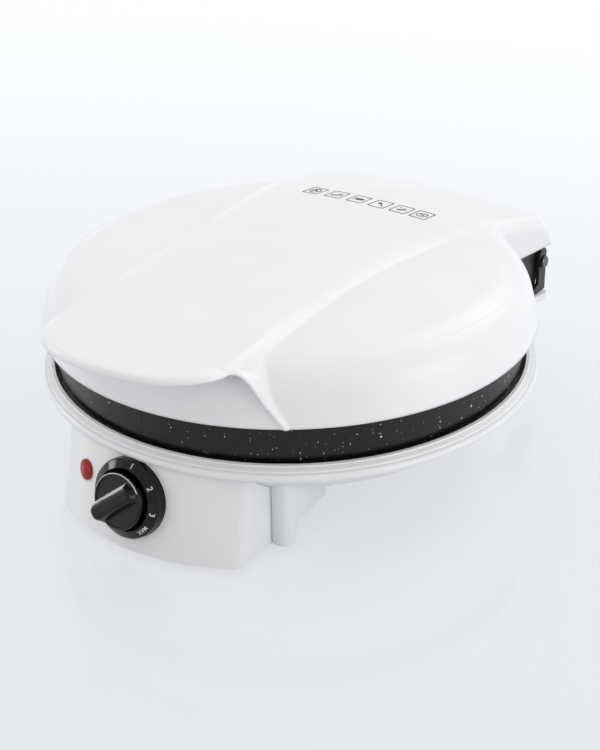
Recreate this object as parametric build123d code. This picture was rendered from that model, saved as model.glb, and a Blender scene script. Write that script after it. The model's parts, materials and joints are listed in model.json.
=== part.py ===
from build123d import *
import os
from math import atan2, cos, pi, radians, sin, sqrt, tan

# Electric pizza maker: a round white base with a deep coated pan, a domed
# lid hinged at the rear with a second heated plate, and a rotary thermostat.
# All lengths are millimetres. The pieces are drawn about the vertical axis of
# the plates, with z = 0 at the widest edge of the base's rim, and are moved at
# the end so that the origin lies on the table under the middle of the outline.

# Clearances
fit_gap = 0.3              # between separate bodies and loose pieces
running_gap = 0.05         # radial, shaft in hole
seat_gap = 0.1             # between faces that rest on each other

# Base tray
rim_radius = 200.0         # widest edge of the rim
rim_band_width = 9.5       # from the widest edge to the edge next to the pan
rim_rise = 8.6             # inner edge of the rim above its widest edge
rim_lip_drop = 1.8         # outer lip below the widest edge
rim_inner_radius = rim_radius - rim_band_width
tray_wall = 2.8
bowl_flank = 38.5          # from the rim's inner edge in to the flat floor
bowl_floor_radius = rim_inner_radius - bowl_flank
bowl_depth = 35.0          # underside of the bowl below the widest edge

# Rear shelf and rear support
shelf_top = -11.5
shelf_thickness = 6.0
shelf_front_y = rim_radius - 50.0
shelf_rear_y = rim_radius + 46.0
shelf_half_width = 115.0   # at its rear edge
shelf_flare = 0.25         # growth of the half-width per length
support_foot_front_y = rim_radius - 60.0
support_foot_rear_y = rim_radius + 5.0
support_foot_half_width = 84.0
support_top_front_y = rim_radius - 60.0
support_top_rear_y = rim_radius + 42.0
support_top_half_width = 108.0  # at its rear wall
support_top_front_half = 90.0   # at its front wall

# Control housing
housing_bottom = -71.0
housing_half_width = 84.0
housing_front_radius = 160.0   # convex front, seen from above
housing_reach = 14.0           # crown of the front, at its bottom edge, beyond the rim
housing_front_y = -rim_radius - housing_reach
housing_lean = 15.0 / 62.0     # how far the front leans back per height
housing_rear_y = -rim_radius + 82.0
housing_corner = 9.0
housing_wall = 2.6

# Columns and ribs beside the control housing
column_radius = 9.5
column_x = housing_half_width + 4.5
column_y = -rim_radius + 59.0
column_top = -8.0
rib_thickness = 4.0
rib_length = 48.5
rib_offset = 4.0           # from the column's middle
rib_deep_z = -59.0
rib_shallow_z = -55.5

# Feet and covers
foot_radius = 9.0
foot_height = 4.0
foot_recess = 1.0
foot_inset = 22.0          # from the side of the housing or the support
foot_front_y = -rim_radius + 28.0
foot_rear_y = rim_radius - 18.0
cover_thickness = 2.4
cover_screw_radius = 1.5
cover_screw_head = 3.0

# Lower pan
pan_side_gap = 3.0         # between the pan and the rim
pan_radius = rim_inner_radius - pan_side_gap
pan_top = 40.0
pan_bottom = 1.0
pan_wall = 4.0
pan_floor = 5.0
pan_corner = 12.0
post_inset = 6.6
post_circle = bowl_floor_radius - post_inset   # the four posts that carry the pan
post_radius = 5.5
post_count = 4
pan_screw_radius = 2.0

# Heating elements and reflectors
element_radius = 4.0
element_circle = 115.0
element_gap_angle = 36.0
element_leg = 14.0
reflector_radius = 138.0
reflector_thickness = 1.0
reflector_drop = 16.0      # lower reflector's dish below the pan's bottom
clamp_count = 3
clamp_width = 12.0
clamp_thickness = 1.5
clamp_ear = 8.0
clamp_screw_radius = 1.5
clamp_screw_depth = 2.6

# Lid shell: dome
lid_edge_z = 40.5
lid_set_back = 2.0         # lid's lower edge inside the rim's widest edge
lid_edge_radius = rim_radius - lid_set_back
lid_wall = 3.0
dome_wall_lean = 15.0      # degrees from vertical
dome_shoulder = 35.0       # radius of the rolled shoulder
dome_crown_radius = 1527.0
dome_crown_z = 95.0

# Lid shell: raised panel, hood and grip
# Each station: y, half-width at the ridge, ridge height, slope width, slope drop, crown
panel_stations = (
    (-250.0, 73.0, 88.0, 12.0, 14.0, 5.2),
    (-190.0, 73.5, 90.2, 12.0, 14.0, 4.4),
    (-158.0, 76.0, 92.2, 8.5, 11.4, 4.0),
    (-110.0, 73.6, 94.3, 8.0, 8.0, 3.4),
    (-30.0, 73.0, 97.2, 9.0, 6.5, 2.8),
    (40.0, 80.5, 96.6, 9.0, 6.5, 3.0),
    (110.0, 93.0, 90.4, 8.0, 6.5, 4.0),
    (170.0, 102.5, 80.4, 7.0, 8.0, 5.2),
    (210.0, 109.5, 72.4, 7.0, 9.5, 5.6),
    (245.0, 115.5, 65.4, 6.0, 10.0, 5.8),
)
panel_front_y = -rim_radius + 42.0   # the panel's front wall, under the grip
hood_rear_y = rim_radius + 40.0
hood_roll = 26.0           # radius that turns the hood's top into its rear wall
grip_half_width = 90.5
grip_reach = 99.0          # from its middle to its front edge
grip_center_y = -rim_radius + 60.0
grip_squareness = 2.37     # 2 is an ellipse, more is squarer
grip_bottom = 84.6
grip_edge_round = 2.0
# Each station of a web: height, angle of its free edge and of its seam from the front
web_stations = (
    (40.5, 33.7, 34.3),
    (50.5, 31.2, 32.2),
    (61.5, 28.9, 30.4),
    (70.6, 27.4, 29.5),
    (77.4, 26.2, 28.7),
    (81.5, 25.0, 27.9),
    (85.5, 23.0, 27.0),
)
web_root = 2.2             # depth of its root in the dome's wall

# Upper plate
plate_set_back = 0.5       # inside the pan's outer side
plate_radius = pan_radius - plate_set_back
plate_flange = 5.6         # closing flange beyond the plate's side
plate_flange_radius = plate_radius + plate_flange
plate_thickness = 4.0
plate_recess = 8.0
plate_rim_width = 9.0
lid_post_circle = plate_radius - 27.0
lid_post_radius = 6.0
lid_post_count = 4
lid_screw_radius = 2.0

# Hinge
hinge_y = rim_radius + 42.0
hinge_z = 17.0
pin_radius = 4.0
pin_head_radius = 5.5
pin_head_length = 3.0
pin_rivet_radius = 5.2
pin_rivet_length = 1.8
bracket_x = 105.0          # inner face of the upright
bracket_thickness = 3.0
bracket_width = 13.0
bracket_rise = 12.0        # top of the upright above the pin
bracket_foot_inner_x = 84.0
bracket_foot_front_y = hinge_y - 20.0
bracket_foot_rear_y = hinge_y + 1.0
arm_inner_x = 96.0
arm_thickness = 8.0
arm_boss_radius = 10.5
arm_front_y = hinge_y - 120.0
arm_flange_width = 14.0
arm_flange_length = 38.0
arm_screw_radius = 2.0

# Control knob, dial and lamp
dial_x = -2.4
dial_z = -31.4
dial_radius = 30.3
dial_seat_depth = 3.6
dial_edge_height = 6.0
dial_inner_height = 9.5
dial_bore = 22.6
knob_radius = 21.5
knob_face_height = 16.0
knob_bar_height = 22.0
knob_bar_base_width = 14.5
knob_bar_top_width = 9.0
knob_bar_angle = 40.0
knob_bar_tip = 24.5        # from the middle to the pointer's tip
knob_bar_tail = 17.0       # from the middle to its other end
shaft_radius = 3.0
thermostat_radius = 12.5
thermostat_depth = 11.5
lamp_x = -52.0
lamp_z = -29.0
lamp_radius = 8.0
lamp_rise = 1.6
lamp_body_radius = 5.5
lamp_body_length = 15.0

# Terminal block and cord gland
terminal_length = 44.0
terminal_width = 16.0
terminal_height = 14.0
terminal_ways = 4
gland_radius = 7.0
gland_bore = 3.6
gland_x = -50.0
gland_z = -52.0


def ring_of(count, radius, start=45.0):
    """Points spread evenly on a circle."""
    spots = []
    for index in range(count):
        angle = radians(start + 360.0 * index / count)
        spots.append((radius * cos(angle), radius * sin(angle)))
    return spots


def post(radius, bottom, top, at):
    """A plain upright cylinder between two heights."""
    return Pos(at[0], at[1], bottom) * Cylinder(radius, top - bottom, align=(Align.CENTER, Align.CENTER, Align.MIN))


def slab(x_span, y_span, z_span):
    """A box given by its lowest and highest coordinates."""
    low = Vector(x_span[0], y_span[0], z_span[0])
    box = Box(x_span[1] - x_span[0], y_span[1] - y_span[0], z_span[1] - z_span[0], align=Align.MIN)
    return Pos(low.X, low.Y, low.Z) * box


def turned(points):
    """A closed profile of radius and height, turned about the plates' axis."""
    outline = Plane.XZ * Polyline(*points, close=True)
    return revolve(make_face(outline), Axis.Z, 360)


def mirrored(shape):
    """The same piece on the other side of the middle plane."""
    return mirror(shape, about=Plane.YZ)


# Base tray

def bowl_corner(inset):
    """Start, middle and end of the bowl's rounded corner, inset from its outer skin."""
    start = (rim_inner_radius - 1.7 - inset, -8.0)
    end = (bowl_floor_radius, -bowl_depth + inset)
    across, down = start[0] - end[0], start[1] - end[1]
    # the flank bulges a little beyond the straight line from end to start
    middle = (end[0] + 0.5 * across + 0.03 * down, end[1] + 0.5 * down - 0.03 * across)
    return start, middle, end


def bowl_fill(inset, top):
    """Solid of the bowl's own form up to a height."""
    start, middle, end = bowl_corner(inset)
    with BuildSketch(Plane.XZ) as section:
        with BuildLine():
            Polyline((0, end[1]), (0, top), (rim_inner_radius - inset, top), (rim_inner_radius - inset, 0.0), start)
            ThreePointArc(start, middle, end)
            Line(end, (0, end[1]))
        make_face()
    return revolve(section.sketch, Axis.Z, 360)


def rim_and_bowl():
    """Stepped rim with a rounded outer band, and the bowl inside it, in one turn."""
    start, middle, end = bowl_corner(0.0)
    inner_start, inner_middle, inner_end = bowl_corner(tray_wall)
    with BuildSketch(Plane.XZ) as section:
        with BuildLine():
            Line((0, inner_end[1]), inner_end)
            ThreePointArc(inner_end, inner_middle, inner_start)
            Polyline(
                inner_start,
                (rim_inner_radius - 2.4, 0.0),
                (rim_inner_radius, rim_rise),
                (rim_inner_radius + 2.4, rim_rise - 0.3),
                (rim_inner_radius + 2.8, rim_rise - 1.3),
                (rim_radius - 3.6, rim_rise - 3.0),
                (rim_radius - 3.2, rim_rise - 4.3),
                (rim_radius - 1.6, rim_rise - 4.8),
            )
            ThreePointArc(
                (rim_radius - 1.6, rim_rise - 4.8),
                (rim_radius, 1.2),
                (rim_radius - 0.5, 0.6 - rim_lip_drop),
            )
            Polyline(
                (rim_radius - 0.5, 0.6 - rim_lip_drop),
                (rim_radius - 0.8, -rim_lip_drop),
                (rim_radius - tray_wall, -rim_lip_drop),
                (rim_radius - tray_wall, 0.0),
                (rim_radius - 5.0, 2.6),
                (rim_inner_radius + 0.8, 2.6),
                (rim_inner_radius, 0.0),
                start,
            )
            ThreePointArc(start, middle, end)
            Polyline(end, (0, end[1]), (0, inner_end[1]))
        make_face()
    return revolve(section.sketch, Axis.Z, 360)


def shelf_edge(y):
    """Half-width of the rear shelf at a distance behind the axis."""
    return shelf_half_width - shelf_flare * (shelf_rear_y - y)


def rear_shelf():
    """Flared plate behind the bowl that carries the hinge brackets."""
    corners = [
        (shelf_edge(shelf_front_y), shelf_front_y),
        (shelf_half_width, shelf_rear_y),
        (-shelf_half_width, shelf_rear_y),
        (-shelf_edge(shelf_front_y), shelf_front_y),
    ]
    outline = make_face(Polyline(*corners, close=True))
    plate = Pos(0, 0, shelf_top - shelf_thickness) * extrude(outline, shelf_thickness)
    uprights = plate.edges().filter_by(Axis.Z).group_by(Axis.Y)[-1]
    return fillet(uprights, 6.0)


def support_section(inset, z):
    """Rounded plan outline of the rear support at one height."""
    share = (z - housing_bottom) / (shelf_top - shelf_thickness - housing_bottom)
    front_half = support_foot_half_width + share * (support_top_front_half - support_foot_half_width) - inset
    rear_half = support_foot_half_width + share * (support_top_half_width - support_foot_half_width) - inset
    front = support_foot_front_y + share * (support_top_front_y - support_foot_front_y) + inset
    rear = support_foot_rear_y + share * (support_top_rear_y - support_foot_rear_y) - inset
    outline = make_face(Polyline(
        (front_half, front), (rear_half, rear), (-rear_half, rear), (-front_half, front), close=True
    ))
    return Pos(0, 0, z) * fillet(outline.vertices(), housing_corner - inset / 2)


def support_form(inset, bottom, top):
    """Tapered box under the rear shelf."""
    return loft([support_section(inset, bottom), support_section(inset, top)])


def outer_parts():
    """What stands on the outside of the bowl: shelf, support, columns and ribs."""
    shelf_under = shelf_top - shelf_thickness
    parts = rear_shelf()
    parts += support_form(0.0, housing_bottom, shelf_under) - support_form(tray_wall, housing_bottom, shelf_under)
    for side in (1, -1):
        column = post(column_radius, housing_bottom, column_top, (side * column_x, column_y))
        near, far = sorted((side * (housing_half_width + fit_gap), side * (column_x + 50.0)))
        parts += column & slab((near, far), (column_y - 40, column_y + 40), (housing_bottom, 0.0))
        rib_top = tray_wall - bowl_depth + 10.0
        profile = [
            (0.0, rib_deep_z),
            (rib_length, rib_shallow_z),
            (rib_length, rib_top),
            (0.0, rib_top),
        ]
        rib = extrude(make_face(Plane.YZ * Polyline(*profile, close=True)), rib_thickness / 2, both=True)
        parts += Pos(side * (column_x + rib_offset), column_y, 0) * rib
    for spot in cover_posts("rear"):
        parts += post(4.0, housing_bottom + cover_thickness + seat_gap, shelf_under + 1.0, spot)
    # they end half way through the bowl's wall
    return parts - bowl_fill(tray_wall / 2, 30.0)


def base_tray():
    """Rim, bowl, rear shelf, rear support, columns and ribs as one moulding."""
    body = rim_and_bowl() + outer_parts()
    for spot in ring_of(post_count, post_circle):
        body += post(post_radius, -bowl_depth + tray_wall / 2, pan_bottom - seat_gap, spot)
    for spot in ring_of(post_count, post_circle):
        body -= post(pan_screw_radius + running_gap, -bowl_depth - 1, pan_bottom + 1, spot)
    for spot in cover_posts("rear"):
        body -= post(cover_screw_radius + running_gap, housing_bottom - 1, housing_bottom + 16.0, spot)
    body -= dial_place() * Cylinder(
        dial_radius + fit_gap, 60.0, align=(Align.CENTER, Align.CENTER, Align.MIN)
    )
    body -= gland_place() * Cylinder(gland_radius + running_gap, 30.0)
    for side in (1, -1):
        for spot in bracket_screw_spots(side):
            body -= post(1.6 + running_gap, shelf_top - shelf_thickness - 1, shelf_top + 1, spot)
    return body


def foot_x(y):
    """Distance of a foot from the middle plane."""
    return (support_foot_half_width if y > 0 else housing_half_width) - foot_inset


def cover_posts(which):
    """Screw places of the two bottom covers."""
    if which == "rear":
        return [(side * 34.0, y) for side in (1, -1) for y in (152.0, 190.0)]
    return [(side * 36.0, y) for side in (1, -1) for y in (-186.0, -136.0)]


# Control housing and covers

def housing_front(x, z):
    """Y of the convex, leaning front face."""
    bulge = housing_front_radius - sqrt(housing_front_radius**2 - x**2)
    return housing_front_y + bulge + housing_lean * (z - housing_bottom)


def housing_outline(inset, z):
    """Plan outline of the housing at one height."""
    half = housing_half_width - inset
    radius = housing_front_radius - inset
    crown = housing_front(0.0, z) + inset
    side_y = crown + radius - sqrt(radius**2 - half**2)
    with BuildSketch(Plane.XY.offset(z)) as outline:
        with BuildLine():
            ThreePointArc((-half, side_y), (0, crown), (half, side_y))
            Polyline(
                (half, side_y),
                (half, housing_rear_y - inset),
                (-half, housing_rear_y - inset),
                (-half, side_y),
            )
        make_face()
        front_corners = outline.vertices().group_by(Axis.Y)[0:2]
        corners = [v for group in front_corners for v in group if v.Y < -150]
        fillet(corners, max(housing_corner - inset, 2.0))
    return outline.sketch


def housing_form(inset, bottom, top):
    """Leaning body of the control housing."""
    return loft([housing_outline(inset, bottom), housing_outline(inset, top)])


def control_housing():
    """Shell of the control housing, open at the bottom, with its three openings."""
    top = -rim_lip_drop - fit_gap
    shell = housing_form(0.0, housing_bottom, top)
    shell -= housing_form(housing_wall, housing_bottom, top - 2.0)
    post_low = housing_bottom + cover_thickness + seat_gap
    for x, y in cover_posts("front"):
        shell += post(4.0, post_low, -44.0, (x, y))
        wall_y = housing_front(x, -44.0) + 1.0 if y < -160 else housing_rear_y - 1.0
        near, far = sorted((y, wall_y))
        shell += slab((x - 1.0, x + 1.0), (near, far), (post_low, -44.0))
    # a thick seat behind the dial, cut flat
    pad = dial_place() * Pos(0, 0, -dial_seat_wall()) * Cylinder(
        dial_radius + 3.0, dial_seat_wall() + 2.0, align=(Align.CENTER, Align.CENTER, Align.MIN)
    )
    shell += pad & housing_form(0.0, housing_bottom, top)
    shell -= bowl_fill(-fit_gap, 30.0)
    shell -= dial_place() * Cylinder(dial_radius + fit_gap, 40.0, align=(Align.CENTER, Align.CENTER, Align.MIN))
    shell -= dial_place() * Cylinder(shaft_radius + 3.0, 60.0)
    shell -= lamp_place() * Cylinder(lamp_body_radius + running_gap, 40.0)
    for spot in cover_posts("front"):
        shell -= post(cover_screw_radius + running_gap, housing_bottom - 1, housing_bottom + 16.0, spot)
    return shell


def dial_seat_wall():
    """Thickness of the seat behind the dial."""
    return housing_wall + 0.6


def bottom_cover(which):
    """Flat cover that closes the control housing or the rear support."""
    if which == "front":
        sheet = housing_form(housing_wall + fit_gap, housing_bottom, housing_bottom + cover_thickness)
        feet_y = foot_front_y
    else:
        sheet = support_form(tray_wall + fit_gap, housing_bottom, housing_bottom + cover_thickness)
        feet_y = foot_rear_y
    sheet -= slab((-200, 200), (-300, 300), (housing_bottom + cover_thickness, 0))
    for side in (1, -1):
        sheet -= post(foot_radius + seat_gap, housing_bottom - 1, housing_bottom + foot_recess, (side * foot_x(feet_y), feet_y))
    for spot in cover_posts(which):
        sheet -= post(cover_screw_radius + running_gap, housing_bottom - 1, housing_bottom + 9, spot)
        sheet -= post(cover_screw_head + seat_gap, housing_bottom - 1, housing_bottom + 1.4, spot)
    slots = [(-12.0 + 6.0 * index, (-160.0 if which == "front" else 170.0)) for index in range(5)]
    for x, y in slots:
        sheet -= slab((x - 1.2, x + 1.2), (y - 12.0, y + 12.0), (housing_bottom - 1, housing_bottom + 9))
    return sheet


def rubber_foot(side, y):
    """Rubber foot pressed into the cover."""
    bottom = housing_bottom - foot_height
    foot = post(foot_radius, bottom, housing_bottom + foot_recess - seat_gap, (side * foot_x(y), y))
    return chamfer(foot.edges().group_by(Axis.Z)[0], 1.0)


def cover_screws(which):
    """Pan-head screws of one cover."""
    screws = []
    for spot in cover_posts(which):
        shank = post(cover_screw_radius, housing_bottom + 0.2, housing_bottom + 14.0, spot)
        head = post(cover_screw_head, housing_bottom + 0.2, housing_bottom + 1.3, spot)
        screws.append(shank + head)
    return Compound(children=screws)


# Lower pan, elements and reflectors

def lower_pan():
    """Deep cast pan with rounded corners and blind screw bosses."""
    inner = pan_radius - pan_wall
    with BuildSketch(Plane.XZ) as section:
        with BuildLine():
            Line((0, pan_bottom), (pan_radius - pan_corner, pan_bottom))
            RadiusArc(
                (pan_radius - pan_corner, pan_bottom),
                (pan_radius, pan_bottom + pan_corner),
                -pan_corner,
            )
            Polyline(
                (pan_radius, pan_bottom + pan_corner),
                (pan_radius, pan_top - 1.0),
                (pan_radius - 1.0, pan_top),
                (inner, pan_top),
                (inner, pan_bottom + pan_floor + 8.0),
            )
            RadiusArc(
                (inner, pan_bottom + pan_floor + 8.0),
                (inner - 8.0, pan_bottom + pan_floor),
                8.0,
            )
            Polyline(
                (inner - 8.0, pan_bottom + pan_floor),
                (0, pan_bottom + pan_floor),
                (0, pan_bottom),
            )
        make_face()
    pan = revolve(section.sketch, Axis.Z, 360)
    for spot in ring_of(post_count, post_circle):
        pan -= post(pan_screw_radius + running_gap, pan_bottom - 1, pan_bottom + 3.6, spot)
    for hole in clamp_holes(pan_bottom, -1):
        pan -= hole
    return pan


def pan_screws():
    """Screws that hold the pan on the tray's posts from below."""
    screws = []
    for spot in ring_of(post_count, post_circle):
        shank = post(pan_screw_radius, -bowl_depth - seat_gap, pan_bottom + 3.4, spot)
        head = post(pan_screw_radius * 2, -bowl_depth - seat_gap - 2.2, -bowl_depth - seat_gap, spot)
        screws.append(shank + head)
    return Compound(children=screws)


def element(plane_z, away):
    """Tubular heater: an open ring with two legs that turn away from the plate."""
    half_gap = radians(element_gap_angle / 2)
    start = (element_circle * sin(half_gap), element_circle * cos(half_gap))
    ring = ThreePointArc(
        (start[0], start[1], plane_z),
        (0, -element_circle, plane_z),
        (-start[0], start[1], plane_z),
    )
    tube = sweep(Plane(origin=(start[0], start[1], plane_z), z_dir=ring % 0) * Circle(element_radius), path=ring)
    for x in (start[0], -start[0]):
        leg_low, leg_high = sorted((plane_z, plane_z + away * element_leg))
        tube += post(element_radius, leg_low, leg_high, (x, start[1]))
        tube += Pos(x, start[1], plane_z) * Sphere(element_radius)
    return tube


def clamp_angles():
    """Directions of the clamps, clear of the gap in the heater ring."""
    return [-90.0 + 360.0 * index / clamp_count for index in range(clamp_count)]


def clamp_screw_spots():
    """Places of the clamp screws, one on each side of the heater ring."""
    reach = element_radius + fit_gap + clamp_thickness + clamp_ear / 2
    spots = []
    for angle in clamp_angles():
        for radius in (element_circle - reach, element_circle + reach):
            spots.append((radius * cos(radians(angle)), radius * sin(radians(angle))))
    return spots


def clamp_screws(plate_z, away):
    """Screws that hold the clamps, each in a blind hole of the plate."""
    ear_face = plate_z + away * (seat_gap + clamp_thickness + seat_gap)
    tip = plate_z - away * (clamp_screw_depth - 0.2)
    crown = ear_face + away * 1.6
    screws = []
    for spot in clamp_screw_spots():
        shank = post(clamp_screw_radius, min(tip, ear_face), max(tip, ear_face), spot)
        head = post(clamp_screw_radius * 1.9, min(ear_face, crown), max(ear_face, crown), spot)
        screws.append(shank + head)
    return Compound(children=screws)


def clamp_holes(plate_z, away):
    """Blind holes of the clamp screws in a plate."""
    bottom = plate_z - away * clamp_screw_depth
    beyond = plate_z + away * 1.0
    holes = []
    for spot in clamp_screw_spots():
        holes.append(post(clamp_screw_radius + running_gap, min(bottom, beyond), max(bottom, beyond), spot))
    return holes


def clamps(plane_z, plate_z):
    """Saddle clamps that hold a heater ring against its plate."""
    away = 1 if plane_z > plate_z else -1
    outer = element_radius + fit_gap + clamp_thickness
    pieces = []
    for angle in clamp_angles():
        hull = Cylinder(outer, clamp_width, rotation=(90, 0, 0))
        core = Cylinder(element_radius + fit_gap, clamp_width + 2, rotation=(90, 0, 0))
        ears = Box(2 * (outer + clamp_ear), clamp_width, clamp_thickness)
        seat = plate_z - plane_z + away * (seat_gap + clamp_thickness / 2)
        saddle = hull + Pos(0, 0, seat) * ears - core
        saddle -= Pos(0, 0, plate_z - plane_z + away * (seat_gap - 10.0)) * Box(80, 80, 20)
        for ear in (1, -1):
            saddle -= Pos(ear * (outer + clamp_ear / 2), 0, 0) * Cylinder(clamp_screw_radius + running_gap, 60)
        pieces.append(Rot(0, 0, angle) * Pos(element_circle, 0, plane_z) * saddle)
    return Compound(children=pieces)


def element_plane(plate_z, away):
    """Height of a heater ring's middle, just clear of its plate."""
    return plate_z + away * (element_radius + seat_gap)


def reflector(rim_z, away):
    """Shallow pressed dish behind a heater, with two holes for its legs."""
    seat = rim_z + away * seat_gap
    deep = seat + away * reflector_drop
    t = away * reflector_thickness
    near = [
        (0.0, deep),
        (reflector_radius - 15.0, deep),
        (reflector_radius - 7.0, seat),
        (reflector_radius, seat),
    ]
    far = [(r, z + t) for r, z in reversed(near)]
    dish = turned(near + far)
    half_gap = radians(element_gap_angle / 2)
    for side in (1, -1):
        spot = (side * element_circle * sin(half_gap), element_circle * cos(half_gap))
        dish -= post(element_radius + 1.0, rim_z - 60.0, rim_z + 60.0, spot)
    return dish


# Lid

def dome_profile(inset):
    """Half profile of the dome: leaning wall, rolled shoulder and shallow crown."""
    lean = radians(dome_wall_lean)
    crown_r = dome_crown_radius - inset
    center_z = dome_crown_z - dome_crown_radius
    shoulder = dome_shoulder - inset
    edge = lid_edge_radius - inset / cos(lean)
    # the shoulder's centre is as far from the wall line as from the crown's arc
    wall_offset = edge * cos(lean) + lid_edge_z * sin(lean) - shoulder
    reach = crown_r - shoulder
    # point (r, z) with r cos(lean) + z sin(lean) = wall_offset, at reach from the crown's centre
    b = wall_offset - center_z * sin(lean)
    foot_r = b * cos(lean)
    foot_z = center_z + b * sin(lean)
    slide = sqrt(reach**2 - b**2)
    mid_r = foot_r - slide * sin(lean)
    mid_z = foot_z + slide * cos(lean)
    wall_end = (mid_r + shoulder * cos(lean), mid_z + shoulder * sin(lean))
    rise = atan2(mid_z - center_z, mid_r)
    roll_end = (crown_r * cos(rise), center_z + crown_r * sin(rise))
    middle = (lean + rise) / 2
    roll_middle = (mid_r + shoulder * cos(middle), mid_z + shoulder * sin(middle))
    half = (rise + pi / 2) / 2
    crown_middle = (crown_r * cos(half), center_z + crown_r * sin(half))
    top = (0.0, center_z + crown_r)
    return edge, wall_end, roll_middle, roll_end, crown_middle, top


def dome_radius(z):
    """Outer radius of the dome at a height on its wall or shoulder."""
    edge, wall_end, roll_middle, roll_end, crown_middle, top = dome_profile(0.0)
    lean = radians(dome_wall_lean)
    if z <= wall_end[1]:
        return edge - (z - lid_edge_z) * tan(lean)
    mid_r = wall_end[0] - dome_shoulder * cos(lean)
    mid_z = wall_end[1] - dome_shoulder * sin(lean)
    return mid_r + sqrt(dome_shoulder**2 - (z - mid_z) ** 2)


def dome_form(inset, bottom):
    """Solid dome down to one height."""
    edge, wall_end, roll_middle, roll_end, crown_middle, top = dome_profile(inset)
    low_edge = edge + (lid_edge_z - bottom) * tan(radians(dome_wall_lean))
    with BuildSketch(Plane.XZ) as section:
        with BuildLine():
            Line((0, bottom), (low_edge, bottom))
            Line((low_edge, bottom), wall_end)
            ThreePointArc(wall_end, roll_middle, roll_end)
            ThreePointArc(roll_end, crown_middle, top)
            Line(top, (0, bottom))
        make_face()
    return revolve(section.sketch, Axis.Z, 360)


def panel_section(station, inset, bottom):
    """Cross-section of the raised panel at one station."""
    y, half, ridge, slope, drop, crown = station
    half -= inset * 0.6
    outer = half + slope - inset * 0.4
    ridge -= inset
    with BuildSketch(Plane.XZ.offset(-y)) as section:
        with BuildLine():
            ThreePointArc((-half, ridge), (0, ridge + crown), (half, ridge))
            Polyline(
                (half, ridge),
                (outer, ridge - drop),
                (outer, bottom),
                (-outer, bottom),
                (-outer, ridge - drop),
                (-half, ridge),
            )
        make_face()
    return section.sketch


def hood_profile(inset, bottom):
    """Side view that ends the panel in front and rounds the hood's top into its rear wall."""
    front = panel_front_y + inset
    rear = hood_rear_y - inset
    roll = hood_roll - inset
    last = panel_stations[-2]
    top = last[2] + last[5] - inset
    with BuildSketch(Plane.YZ) as side:
        with BuildLine():
            Line((front, bottom), (rear, bottom))
            Line((rear, bottom), (rear, top - roll - 1.0))
            RadiusArc((rear, top - roll - 1.0), (rear - roll, top - 0.2), -roll)
            Polyline((rear - roll, top - 0.2), (rear - roll - 60, 130), (front, 130), (front, bottom))
        make_face()
    return extrude(side.sketch, 160, both=True)


def panel_loft(inset, bottom):
    """Smooth body through all the cross-sections of the panel, from the grip to the hood."""
    return loft([panel_section(station, inset, bottom) for station in panel_stations])


def grip_outline():
    """Plan outline of the grip, a squared ellipse."""
    spots = []
    for index in range(48):
        angle = 2 * pi * index / 48
        across, along = cos(angle), sin(angle)
        power = 2.0 / grip_squareness
        spots.append((
            grip_half_width * abs(across) ** power * (1 if across > 0 else -1),
            grip_center_y + grip_reach * abs(along) ** power * (1 if along > 0 else -1),
        ))
    return make_face(Spline(*spots, periodic=True))


def grip_slice():
    """Upright body of the grip's plan outline, from its underside up."""
    upright = Pos(0, 0, grip_bottom) * extrude(grip_outline(), 40.0)
    return upright & slab((-200, 200), (-rim_radius - 60, panel_front_y + 20.0), (0, 200))


def panel_and_grip():
    """Raised panel, hood and the thin rounded grip in front of the dome, under one arched top."""
    body = panel_loft(0.0, lid_edge_z) & (hood_profile(0.0, lid_edge_z) + grip_slice())
    under = [
        edge for edge in body.edges().filter_by(GeomType.BSPLINE)
        if abs(edge.center().Z - grip_bottom) < 0.01 and edge.center().Y < panel_front_y - grip_edge_round
    ]
    return fillet(under, grip_edge_round)


def web(side):
    """Thin wall beside the finger space: its free edge stands over the lid's edge, its seam lies on the dome."""
    sections = []
    for z, free_angle, seam_angle in web_stations:
        free, seam = radians(free_angle), radians(seam_angle)
        wall = dome_radius(z)
        corners = [
            (lid_edge_radius * sin(free), -lid_edge_radius * cos(free)),
            (wall * sin(seam), -wall * cos(seam)),
            ((wall - web_root) * sin(seam), -(wall - web_root) * cos(seam)),
            ((wall - web_root) * sin(free), -(wall - web_root) * cos(free)),
        ]
        sections.append(Pos(0, 0, z) * make_face(Polyline(*[(side * x, y) for x, y in corners], close=True)))
    return loft(sections, ruled=True)


def lid_shell():
    """Dome, panel, hood and grip as one thin moulding with screw posts inside."""
    outer = dome_form(0.0, lid_edge_z) + panel_and_grip()
    outer += web(1)
    outer += web(-1)
    inner = dome_form(lid_wall, lid_edge_z - 5.0)
    inner += panel_loft(lid_wall, lid_edge_z - 5.0) & hood_profile(lid_wall, lid_edge_z - 5.0)
    shell = outer - inner
    plate_top = upper_plate_top()
    for spot in ring_of(lid_post_count, lid_post_circle):
        pillar = post(lid_post_radius, plate_top + seat_gap, 100.0, spot)
        shell += pillar & outer
    for spot in ring_of(lid_post_count, lid_post_circle):
        shell -= post(lid_screw_radius + running_gap, plate_top - 1, plate_top + 14.0, spot)
    return shell


def upper_plate_top():
    """Upper side of the upper plate's flat middle."""
    return pan_top + fit_gap + plate_recess + plate_thickness


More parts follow.
